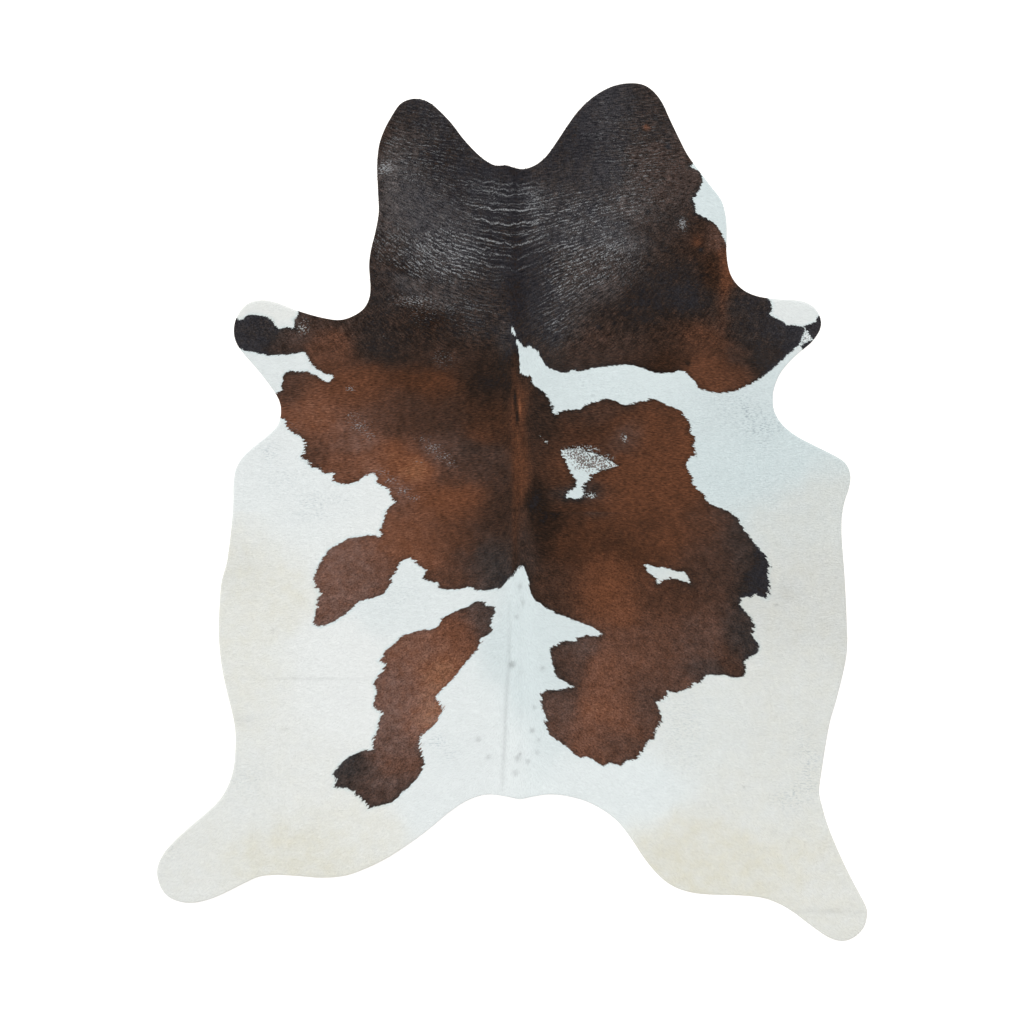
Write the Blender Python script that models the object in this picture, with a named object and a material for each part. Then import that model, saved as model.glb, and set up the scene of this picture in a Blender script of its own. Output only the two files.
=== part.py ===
"""A whole cowhide rug lying flat with its hair side up.

Metres, +Z up. The underside lies at Z = 0, the neck points to +Y and the hide's right side,
as seen from above, to +X. The origin is under the middle of the hide's own box.

The hide is one closed solid: a flat underside, the cut edge of the leather, and above it the
short coat, which rounds over the edge. Low folds cross the neck and a low ridge marks the spine.
"""

import bpy
import bmesh
import numpy as np
from mathutils.geometry import delaunay_2d_cdt

MM = 0.001

# Driving sizes
LEATHER_THICKNESS = 2.5 * MM
COAT_DEPTH = 3.5 * MM  # how far the lying hair stands above the leather
OUTLINE_STEP = 14 * MM  # between two points of the cut edge
FILL_STEP = 46 * MM  # between two points of the plain upper face
UNDERSIDE_STEP = 150 * MM
EDGE_CLEARANCE = 0.45  # least distance from a fill point to another line, as a share of its step
ROW_SPACING = 0.87  # between staggered rows of fill points, as a share of the step
SHARP_ANGLE = 50  # degrees: the shading is smooth over blunter edges

# The coat rounds over the cut edge: inset from the edge and share of the coat's depth there.
EDGE_ROUNDING = (
    # inset mm, share of coat
    (0.0, 0.00),
    (3.0, 0.60),
    (9.0, 1.00),
)

# The hide's outline, clockwise from the middle of the neck: mm across and mm towards the neck.
OUTLINE = {
    "neck notch": [
        (-15, 867), (5, 861), (25, 857), (50, 863), (75, 879), (98, 905),
    ],
    "right neck lobe": [
        (145, 975), (170, 1007), (200, 1035), (233, 1056), (265, 1068), (298, 1072), (328, 1068),
        (353, 1052), (375, 1024), (395, 981), (420, 929), (440, 891), (470, 850), (500, 811),
        (523, 780), (534, 742), (537, 700), (536, 655),
    ],
    "right armpit": [
        (541, 612), (554, 580), (580, 554), (615, 539), (657, 533), (695, 531),
    ],
    "right front leg": [
        (730, 526), (757, 510), (771, 484), (770, 457), (750, 426), (722, 402), (695, 377),
    ],
    "right waist": [
        (671, 347), (656, 312), (652, 280), (657, 249), (676, 219), (710, 191), (757, 166),
        (805, 142), (834, 122), (846, 92), (842, 59), (831, 25), (824, -20), (825, -77),
    ],
    "right flank": [
        (831, -152), (836, -250), (838, -332), (831, -387), (811, -469), (796, -520), (785, -577),
        (776, -635), (768, -695), (775, -734), (791, -787), (817, -850), (845, -909),
    ],
    "right hind leg": [
        (870, -956), (886, -989), (887, -1012), (878, -1040), (853, -1064), (823, -1072),
        (790, -1062), (750, -1035), (705, -1001), (668, -979), (625, -964), (570, -958),
    ],
    "right rump": [
        (500, -956), (450, -951), (407, -937), (370, -911), (332, -867), (298, -816),
        (265, -774), (228, -745), (185, -723), (137, -710), (92, -706),
    ],
    "tail": [
        (50, -712), (20, -718), (-10, -712),
    ],
    "left rump": [
        (-52, -706), (-85, -711), (-120, -726), (-162, -755), (-205, -791), (-252, -826),
        (-305, -861), (-360, -889), (-417, -909), (-475, -914), (-530, -910), (-585, -907),
    ],
    "left hind leg": [
        (-630, -911), (-665, -926), (-705, -946), (-750, -966), (-797, -977), (-837, -972),
        (-866, -955), (-883, -925), (-887, -892), (-872, -855), (-842, -820), (-805, -786),
        (-765, -752), (-732, -720), (-710, -684),
    ],
    "left flank": [
        (-696, -640), (-691, -582), (-693, -535), (-701, -495), (-714, -442), (-726, -382),
        (-733, -307), (-731, -232), (-726, -175), (-712, -121), (-703, -52), (-697, 17),
    ],
    "left waist": [
        (-696, 70), (-690, 109), (-671, 140), (-640, 168), (-609, 193), (-585, 219), (-577, 252),
        (-584, 284), (-607, 319), (-640, 361), (-671, 396),
    ],
    "left front leg": [
        (-690, 426), (-695, 457), (-687, 489), (-664, 519), (-628, 530), (-587, 523),
        (-535, 503), (-480, 487),
    ],
    "left armpit": [
        (-432, 480), (-397, 490), (-370, 509), (-356, 537), (-354, 570), (-357, 617), (-352, 657),
        (-341, 702),
    ],
    "left neck lobe": [
        (-333, 750), (-335, 805), (-337, 867), (-332, 917), (-319, 955), (-302, 987), (-280, 1019),
        (-253, 1032), (-225, 1031), (-197, 1017), (-155, 976), (-120, 931), (-87, 896), (-62, 876),
        (-40, 866),
    ],
}

# The spine, from the neck notch to the tail, and the low ridge of hair along it.
SPINE_X = 15 * MM
SPINE_TOP = 800 * MM
SPINE_FOOT = -640 * MM
SPINE_HALF_WIDTH = 18 * MM
SPINE_HEIGHT = 1.3 * MM
SPINE_CLEAR_OF_FOLDS = 25 * MM  # its own points start this far below the lowest fold

# Folds across the neck. Each crosses the spine and climbs towards the neck on both sides.
FOLD_HALF_WIDTH = 9 * MM
FOLD_STEP = 34 * MM  # between two points along a crest
FOLD_TAPER = 70 * MM  # over which a fold dies out at each end
LEFT_SLOPE, LEFT_CURVE = 0.04, 1.15  # climb per metre, and its increase per metre
RIGHT_SLOPE, RIGHT_CURVE = 0.12, 0.28
FOLDS = (
    # mm up the spine, reach to the left mm, reach to the right mm, height mm
    (798, 150, 150, 0.8),
    (752, 190, 330, 1.1),
    (717, 250, 370, 1.2),
    (685, 290, 390, 1.3),
    (655, 310, 380, 1.2),
    (622, 320, 330, 1.3),
    (590, 315, 290, 1.1),
    (556, 310, 240, 1.0),
    (522, 290, 200, 0.9),
    (486, 220, 160, 0.7),
)

# A crease from packing across the tip of the right hind leg, a shallow trough.
CREASE_Y = -998 * MM
CREASE_FROM_X, CREASE_TO_X = 728 * MM, 862 * MM
CREASE_HALF_WIDTH = 12 * MM
CREASE_DEPTH = 0.8 * MM
CREASE_POINTS = 5


def smooth_loop(points, pieces=12):
    """A closed Catmull-Rom curve through the points, each span in that many pieces."""
    before, start = np.roll(points, 1, axis=0), points
    end, after = np.roll(points, -1, axis=0), np.roll(points, -2, axis=0)
    spans = []
    for t in np.arange(pieces) / pieces:
        spans.append(
            0.5 * (2 * start + (end - before) * t
                   + (2 * before - 5 * start + 4 * end - after) * t**2
                   + (3 * start - before - 3 * end + after) * t**3)
        )
    return np.stack(spans, axis=1).reshape(-1, 2)


def even_loop(points, step):
    """The closed loop again with points an even distance apart, nearest to step."""
    closed = np.vstack([points, points[:1]])
    along = np.concatenate([[0], np.cumsum(np.hypot(*np.diff(closed, axis=0).T))])
    marks = np.linspace(0, along[-1], round(along[-1] / step), endpoint=False)
    return np.column_stack([np.interp(marks, along, closed[:, axis]) for axis in (0, 1)])


def inset_loop(loop, distance):
    """The clockwise loop moved inwards by the distance."""
    tangent = np.roll(loop, -1, axis=0) - np.roll(loop, 1, axis=0)
    tangent /= np.hypot(*tangent.T)[:, None]
    inwards = np.column_stack([tangent[:, 1], -tangent[:, 0]])
    return loop + distance * inwards


def inside(points, loop):
    """Which of the points lie inside the loop, by counting the edges they cross."""
    x, y = points[:, :1], points[:, 1:]
    x0, y0 = loop.T
    x1, y1 = np.roll(loop, -1, axis=0).T
    level = np.where(y1 == y0, 1, y1 - y0)
    crosses = ((y0 > y) != (y1 > y)) & (x < x0 + (y - y0) * (x1 - x0) / level)
    return crosses.sum(axis=1) % 2 == 1


def clear_of(points, others, distance):
    """The points that lie at least the distance from all the others."""
    gaps = np.hypot(points[:, :1] - others[:, 0], points[:, 1:] - others[:, 1])
    return points[gaps.min(axis=1) >= distance]


def grid_within(loop, step):
    """Staggered rows of points inside the loop, clear of its edge."""
    low, high = loop.min(axis=0), loop.max(axis=0)
    rows = np.arange(low[1] + step / 2, high[1], step * ROW_SPACING)
    points = np.array([
        (x, y)
        for number, y in enumerate(rows)
        for x in np.arange(low[0] + step * (0.5 if number % 2 else 1.0), high[0], step)
    ])
    return clear_of(points[inside(points, loop)], loop, EDGE_CLEARANCE * step)


def bump(distance, half_width):
    """A smooth rise: 1 at its middle line and 0 from half_width on."""
    return np.cos(np.clip(np.abs(distance) / half_width, 0, 1) * np.pi / 2) ** 2


def taper(distance, length):
    """0 outside an end, 1 a length inside it."""
    return np.clip(distance / length, 0, 1)


def fold_crest(up_spine, across):
    """How far up the neck a fold's crest lies at a distance across from the spine."""
    slope = np.where(across < 0, LEFT_SLOPE, RIGHT_SLOPE)
    curve = np.where(across < 0, LEFT_CURVE, RIGHT_CURVE)
    return up_spine + slope * np.abs(across) + curve * across**2


def relief(x, y):
    """How far the coat stands above or below its plain level at a place."""
    height = np.zeros_like(x)
    across = x - SPINE_X
    for up_spine, left, right, rise in FOLDS:
        away = y - fold_crest(up_spine * MM, across)
        ends = taper(np.minimum(across + left * MM, right * MM - across), FOLD_TAPER)
        height += rise * MM * bump(away, FOLD_HALF_WIDTH) * ends
    along_spine = taper(np.minimum(y - SPINE_FOOT, SPINE_TOP - y), FOLD_TAPER)
    ridge = SPINE_HEIGHT * bump(across, SPINE_HALF_WIDTH) * along_spine
    height = np.maximum(height, ridge)
    along_crease = taper(np.minimum(x - CREASE_FROM_X, CREASE_TO_X - x), CREASE_HALF_WIDTH)
    return height - CREASE_DEPTH * bump(y - CREASE_Y, CREASE_HALF_WIDTH) * along_crease


def relief_points():
    """Points along the crest and both feet of every fold, of the ridge and of the crease."""
    points = []
    for up_spine, left, right, _ in FOLDS:
        across = np.arange(-left * MM, right * MM + FOLD_STEP / 2, FOLD_STEP)
        crest = fold_crest(up_spine * MM, across)
        for foot in (-FOLD_HALF_WIDTH, 0, FOLD_HALF_WIDTH):
            points.append(np.column_stack([across + SPINE_X, crest + foot]))
    lowest_fold = FOLDS[-1][0] * MM
    along = np.arange(SPINE_FOOT, lowest_fold - SPINE_CLEAR_OF_FOLDS, FILL_STEP)
    for side in (-SPINE_HALF_WIDTH, 0, SPINE_HALF_WIDTH):
        points.append(np.column_stack([np.full_like(along, SPINE_X + side), along]))
    across = np.linspace(CREASE_FROM_X, CREASE_TO_X, CREASE_POINTS)
    for side in (-CREASE_HALF_WIDTH, 0, CREASE_HALF_WIDTH):
        points.append(np.column_stack([across, np.full_like(across, CREASE_Y + side)]))
    return np.vstack(points)


def fill(loop, inner_points):
    """Triangles over the inside of a loop: its points, then the inner ones, and the triangles."""
    points = np.vstack([loop, inner_points])
    found = delaunay_2d_cdt([tuple(p) for p in points], [], [list(range(len(loop)))], 1, 1e-7)
    originals = [sources[0] for sources in found[3]]
    return points, [[originals[corner] for corner in face] for face in found[2]]


def hide_mesh():
    """The closed surface: underside, cut edge, rounded rim of coat and upper face."""
    points = np.array([point for stretch in OUTLINE.values() for point in stretch]) * MM
    edge = even_loop(smooth_loop(points), OUTLINE_STEP)
    edge -= (edge.min(axis=0) + edge.max(axis=0)) / 2
    rings = [(edge, 0.0)]
    rings += [
        (inset_loop(edge, inset * MM), LEATHER_THICKNESS + share * COAT_DEPTH)
        for inset, share in EDGE_ROUNDING
    ]
    mesh = bmesh.new()
    ring_verts = [[mesh.verts.new((x, y, z)) for x, y in loop] for loop, z in rings]
    for lower, upper in zip(ring_verts, ring_verts[1:]):
        for i in range(len(edge)):
            j = (i + 1) % len(edge)
            mesh.faces.new((lower[j], lower[i], upper[i], upper[j]))

    rim, top_level = rings[-1]
    raised = relief_points()
    raised = clear_of(raised[inside(raised, rim)], rim, EDGE_CLEARANCE * OUTLINE_STEP)
    plain = clear_of(grid_within(rim, FILL_STEP), raised, EDGE_CLEARANCE * FILL_STEP)
    top, faces = fill(rim, np.vstack([raised, plain]))
    inner = top[len(rim):]
    heights = top_level + relief(inner[:, 0], inner[:, 1])
    verts = ring_verts[-1] + [mesh.verts.new((*p, z)) for p, z in zip(inner, heights)]
    for face in faces:
        mesh.faces.new([verts[corner] for corner in face])

    under, faces = fill(edge, grid_within(edge, UNDERSIDE_STEP))
    verts = ring_verts[0] + [mesh.verts.new((x, y, 0)) for x, y in under[len(edge):]]
    for face in faces:
        mesh.faces.new([verts[corner] for corner in reversed(face)])

    bmesh.ops.triangulate(mesh, faces=mesh.faces[:])
    bmesh.ops.recalc_face_normals(mesh, faces=mesh.faces[:])
    result = bpy.data.meshes.new("hide")
    mesh.to_mesh(result)
    mesh.free()
    return result


def coat_material():
    """Brown hair with a soft sheen, the hide's main colour."""
    material = bpy.data.materials.new("brown_and_white_hair_on_hide")
    material.use_nodes = True
    shader = material.node_tree.nodes["Principled BSDF"]
    shader.inputs["Base Color"].default_value = (0.105, 0.044, 0.023, 1)
    shader.inputs["Roughness"].default_value = 0.55
    shader.inputs["Metallic"].default_value = 0
    return material


def main():
    for obj in list(bpy.data.objects):
        bpy.data.objects.remove(obj, do_unlink=True)
    mesh = hide_mesh()
    mesh.materials.append(coat_material())
    mesh.shade_smooth()
    mesh.set_sharp_from_angle(angle=np.radians(SHARP_ANGLE))
    hide = bpy.data.objects.new("hide", mesh)
    bpy.context.scene.collection.objects.link(hide)


main()
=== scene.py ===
"""A whole cowhide rug lying flat with its hair side up, in metres and +Z up.

The neck points to +Y and the hide's right side, as seen from above, to +X. The hide is a closed
sheet of leather with a dense undercoat over its upper face. The hair above it lies in locks,
each a low roof of two faces, which run from the neck to the tail and spread out to the flanks.
A fine grid over the upper face, the ground, holds the pattern, tones and relief for the locks.

Places on the hide are in millimetres across it and towards the neck, from its own middle.
"""

import bmesh
import bpy
import numpy as np
from bpy.props import FloatProperty, FloatVectorProperty, IntProperty, PointerProperty
from mathutils.geometry import delaunay_2d_cdt
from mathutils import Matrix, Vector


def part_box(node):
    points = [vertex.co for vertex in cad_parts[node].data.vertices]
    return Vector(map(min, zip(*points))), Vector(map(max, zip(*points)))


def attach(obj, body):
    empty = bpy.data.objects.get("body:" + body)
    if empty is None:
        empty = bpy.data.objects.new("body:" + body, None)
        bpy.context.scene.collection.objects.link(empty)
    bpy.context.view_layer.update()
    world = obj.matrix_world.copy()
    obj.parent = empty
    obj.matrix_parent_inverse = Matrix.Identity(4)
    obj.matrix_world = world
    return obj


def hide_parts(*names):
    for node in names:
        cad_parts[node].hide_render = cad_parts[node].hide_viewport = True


bl_info = {
    "name": "Cowhide rug",
    "version": (1, 0, 0),
    "blender": (4, 5, 0),
    "location": "View3D > Sidebar > Cowhide",
    "description": "A whole cowhide with lying hair, brown and white",
    "category": "Add Mesh",
}

MM = 0.001
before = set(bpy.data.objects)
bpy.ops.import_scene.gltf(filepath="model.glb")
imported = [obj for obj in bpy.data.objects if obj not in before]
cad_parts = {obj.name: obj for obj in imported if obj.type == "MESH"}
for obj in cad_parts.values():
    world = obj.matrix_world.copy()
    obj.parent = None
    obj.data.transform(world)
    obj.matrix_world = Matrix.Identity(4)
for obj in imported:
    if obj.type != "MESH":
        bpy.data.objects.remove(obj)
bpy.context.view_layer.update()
HIDE_LOW, HIDE_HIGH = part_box("hide")

# ---------------------------------------------------------------------------------------------
# The pattern of the coat, given point by point

# The brown coat over the neck, back and sides, clockwise. Stretches that are named as off the
# hide run past its cut edge.
MAIN_PATCH = {
    "off the hide, round the neck": [
        (-417, 555), (-417, 1130), (470, 1130), (557, 905),
    ],
    "white notch of the right neck": [
        (454, 870), (440, 864), (457, 857), (467, 851), (472, 845), (476, 825), (472, 816),
        (463, 796), (449, 780), (456, 773), (457, 748), (468, 743), (486, 733), (504, 723),
        (516, 707), (526, 691), (530, 680), (535, 666),
    ],
    "off the hide, by the right armpit": [
        (582, 680), (600, 660), (645, 600),
    ],
    "top of the right front leg": [
        (640, 532), (647, 525), (649, 517), (647, 500), (641, 493), (656, 489), (665, 480),
        (679, 475), (684, 466), (697, 467), (712, 466), (731, 462),
    ],
    "upper edge of the white band": [
        (732, 455), (727, 444), (718, 422), (704, 407), (682, 389), (666, 373), (647, 355),
        (612, 328), (584, 317), (565, 304), (520, 297), (487, 301), (462, 312), (456, 330),
        (445, 333), (437, 346), (420, 356), (399, 347), (359, 347), (323, 360), (295, 369),
        (259, 366), (198, 360), (184, 355), (165, 351), (159, 357), (141, 350), (125, 347),
        (90, 360), (77, 376), (61, 408), (47, 410), (41, 419), (37, 410), (29, 414),
        (18, 428), (11, 435),
    ],
    "lower edge of the white band": [
        (11, 422), (16, 410), (18, 397), (21, 348), (36, 342), (47, 341), (52, 335), (47, 326),
        (56, 316), (77, 301), (88, 287), (95, 280), (94, 265), (106, 264), (100, 253),
        (107, 241), (120, 250), (141, 256), (168, 257), (191, 272), (220, 280), (248, 282),
        (282, 266), (323, 276), (354, 284), (372, 276), (401, 262), (421, 256), (427, 241),
    ],
    "right side": [
        (440, 232), (447, 207), (441, 201), (454, 191), (457, 160), (465, 142), (450, 139),
        (440, 132), (432, 116), (447, 94), (450, 72), (470, 51), (482, 42), (488, 22),
        (512, 14), (547, 0), (568, -20), (581, -48), (598, -68), (620, -95), (634, -109),
        (646, -136), (638, -159), (643, -181), (642, -206), (636, -218), (622, -212),
        (607, -202), (593, -215), (582, -209), (571, -218), (572, -240), (593, -259),
        (607, -286), (601, -306), (615, -327), (618, -341), (607, -357), (586, -366),
        (579, -373), (584, -398), (581, -409), (562, -416), (534, -409), (506, -407),
        (484, -409), (470, -423), (436, -441), (412, -451), (390, -447), (384, -466),
    ],
    "right loin": [
        (359, -473), (368, -495), (375, -523), (359, -540), (356, -565), (336, -573),
        (329, -593), (316, -615), (284, -622), (270, -634), (245, -626), (229, -637),
        (209, -623), (187, -611), (168, -615), (145, -595), (123, -577), (93, -557),
        (82, -529), (87, -520), (75, -487), (72, -450), (86, -443), (120, -445), (154, -437),
        (127, -420), (113, -415), (106, -395), (96, -361), (92, -340), (112, -331),
        (134, -322), (159, -325), (162, -312), (187, -309), (222, -311), (227, -302),
        (198, -286), (152, -268), (106, -252), (85, -237), (59, -222), (46, -206),
    ],
    "white star at the end of the spine": [
        (42, -168), (32, -145), (27, -134), (22, -140), (19, -133), (9, -152), (-8, -166),
        (-28, -191),
    ],
    "left loin": [
        (-69, -197), (-83, -195), (-110, -187), (-137, -195), (-180, -191), (-182, -179),
        (-201, -173), (-223, -165), (-216, -154), (-219, -140), (-242, -125), (-253, -112),
        (-276, -122), (-294, -156), (-307, -168), (-298, -173), (-317, -204), (-350, -215),
        (-383, -223), (-405, -248), (-441, -273), (-480, -287), (-496, -279), (-489, -245),
        (-487, -218), (-478, -207), (-490, -187), (-496, -175), (-487, -143), (-471, -112),
        (-455, -93), (-428, -75), (-403, -64), (-369, -60), (-355, -56), (-333, -63),
        (-322, -56), (-332, -47), (-321, -31), (-317, 2), (-288, 25),
    ],
    "left side": [
        (-300, 35), (-308, 57), (-325, 66), (-339, 75), (-333, 86), (-346, 98), (-369, 89),
        (-394, 72), (-423, 69), (-446, 76), (-442, 98), (-469, 97), (-483, 111), (-498, 109),
        (-514, 129), (-528, 137), (-516, 158), (-518, 175), (-525, 188), (-545, 196),
        (-556, 207), (-565, 219), (-567, 232), (-578, 234),
    ],
    "off the hide, by the left waist": [
        (-625, 240), (-650, 298),
    ],
    "lower white notch of the left front leg": [
        (-592, 298), (-580, 300), (-573, 305), (-576, 319), (-572, 330), (-573, 339),
        (-558, 353), (-523, 350), (-514, 355), (-490, 342), (-467, 328), (-457, 323),
        (-447, 333), (-445, 343), (-464, 346), (-489, 360), (-505, 378), (-514, 398),
        (-519, 401), (-551, 395), (-608, 391), (-639, 398), (-673, 405), (-682, 412),
    ],
    "off the hide, past the left front leg": [
        (-740, 412), (-745, 490),
    ],
    "upper white of the left front leg": [
        (-688, 486), (-679, 478), (-662, 489), (-655, 494), (-623, 492), (-607, 486),
        (-596, 478), (-589, 464), (-581, 456), (-564, 463), (-541, 458), (-542, 476),
        (-547, 482), (-537, 486), (-534, 503),
    ],
    "off the hide, by the left armpit": [
        (-530, 555),
    ],
}

RUMP_PATCH = {
    "top and right side": [
        (-94, -225), (-76, -220), (-62, -232), (-41, -240), (-42, -252), (-51, -265),
        (-52, -286), (-45, -290), (-58, -307), (-78, -316), (-84, -341), (-101, -362),
        (-119, -382), (-144, -412), (-166, -434), (-194, -467), (-182, -470), (-172, -494),
        (-183, -516), (-201, -540), (-227, -557), (-235, -591), (-222, -612), (-217, -627),
        (-230, -657), (-255, -684), (-287, -715), (-308, -729), (-344, -736), (-357, -740),
    ],
    "left side": [
        (-369, -723), (-389, -707), (-396, -697), (-421, -688), (-446, -687), (-437, -665),
        (-447, -656), (-432, -632), (-405, -611), (-372, -596), (-342, -593), (-347, -584),
        (-348, -565), (-337, -545), (-330, -516), (-323, -502), (-347, -486), (-337, -448),
        (-345, -425), (-328, -402), (-316, -381), (-332, -372), (-319, -359), (-316, -345),
        (-291, -327), (-280, -312), (-258, -304), (-226, -295), (-191, -291), (-176, -275),
        (-176, -265), (-137, -245), (-116, -240),
    ],
}

LEG_TIP_PATCHES = {
    "right leg tip": [
        (730, 464), (737, 469), (748, 473), (759, 477), (762, 487), (766, 491), (800, 490),
        (800, 440), (755, 428), (748, 435), (740, 447), (737, 457),
    ],
    "below the tip": [
        (748, 429), (727, 422), (722, 416), (727, 405), (742, 413), (762, 420),
    ],
}

WHITE_ISLANDS = {
    "roan island": [
        (120, 154), (142, 157), (172, 155), (212, 143), (235, 135), (262, 116), (245, 110),
        (212, 100), (195, 87), (184, 72), (177, 57), (179, 44), (161, 32), (145, 37),
        (131, 32), (136, 42), (156, 60), (162, 78), (147, 96), (137, 117), (132, 135),
    ],
    "fish-shaped island": [
        (331, -137), (343, -131), (362, -140), (395, -141), (407, -148), (431, -150),
        (443, -172), (448, -181), (412, -166), (382, -168), (372, -177), (359, -180),
        (362, -166), (340, -148),
    ],
    "spindle above the band": [
        (-1, 466), (7, 453), (12, 434), (4, 443), (-3, 453),
    ],
}
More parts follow.
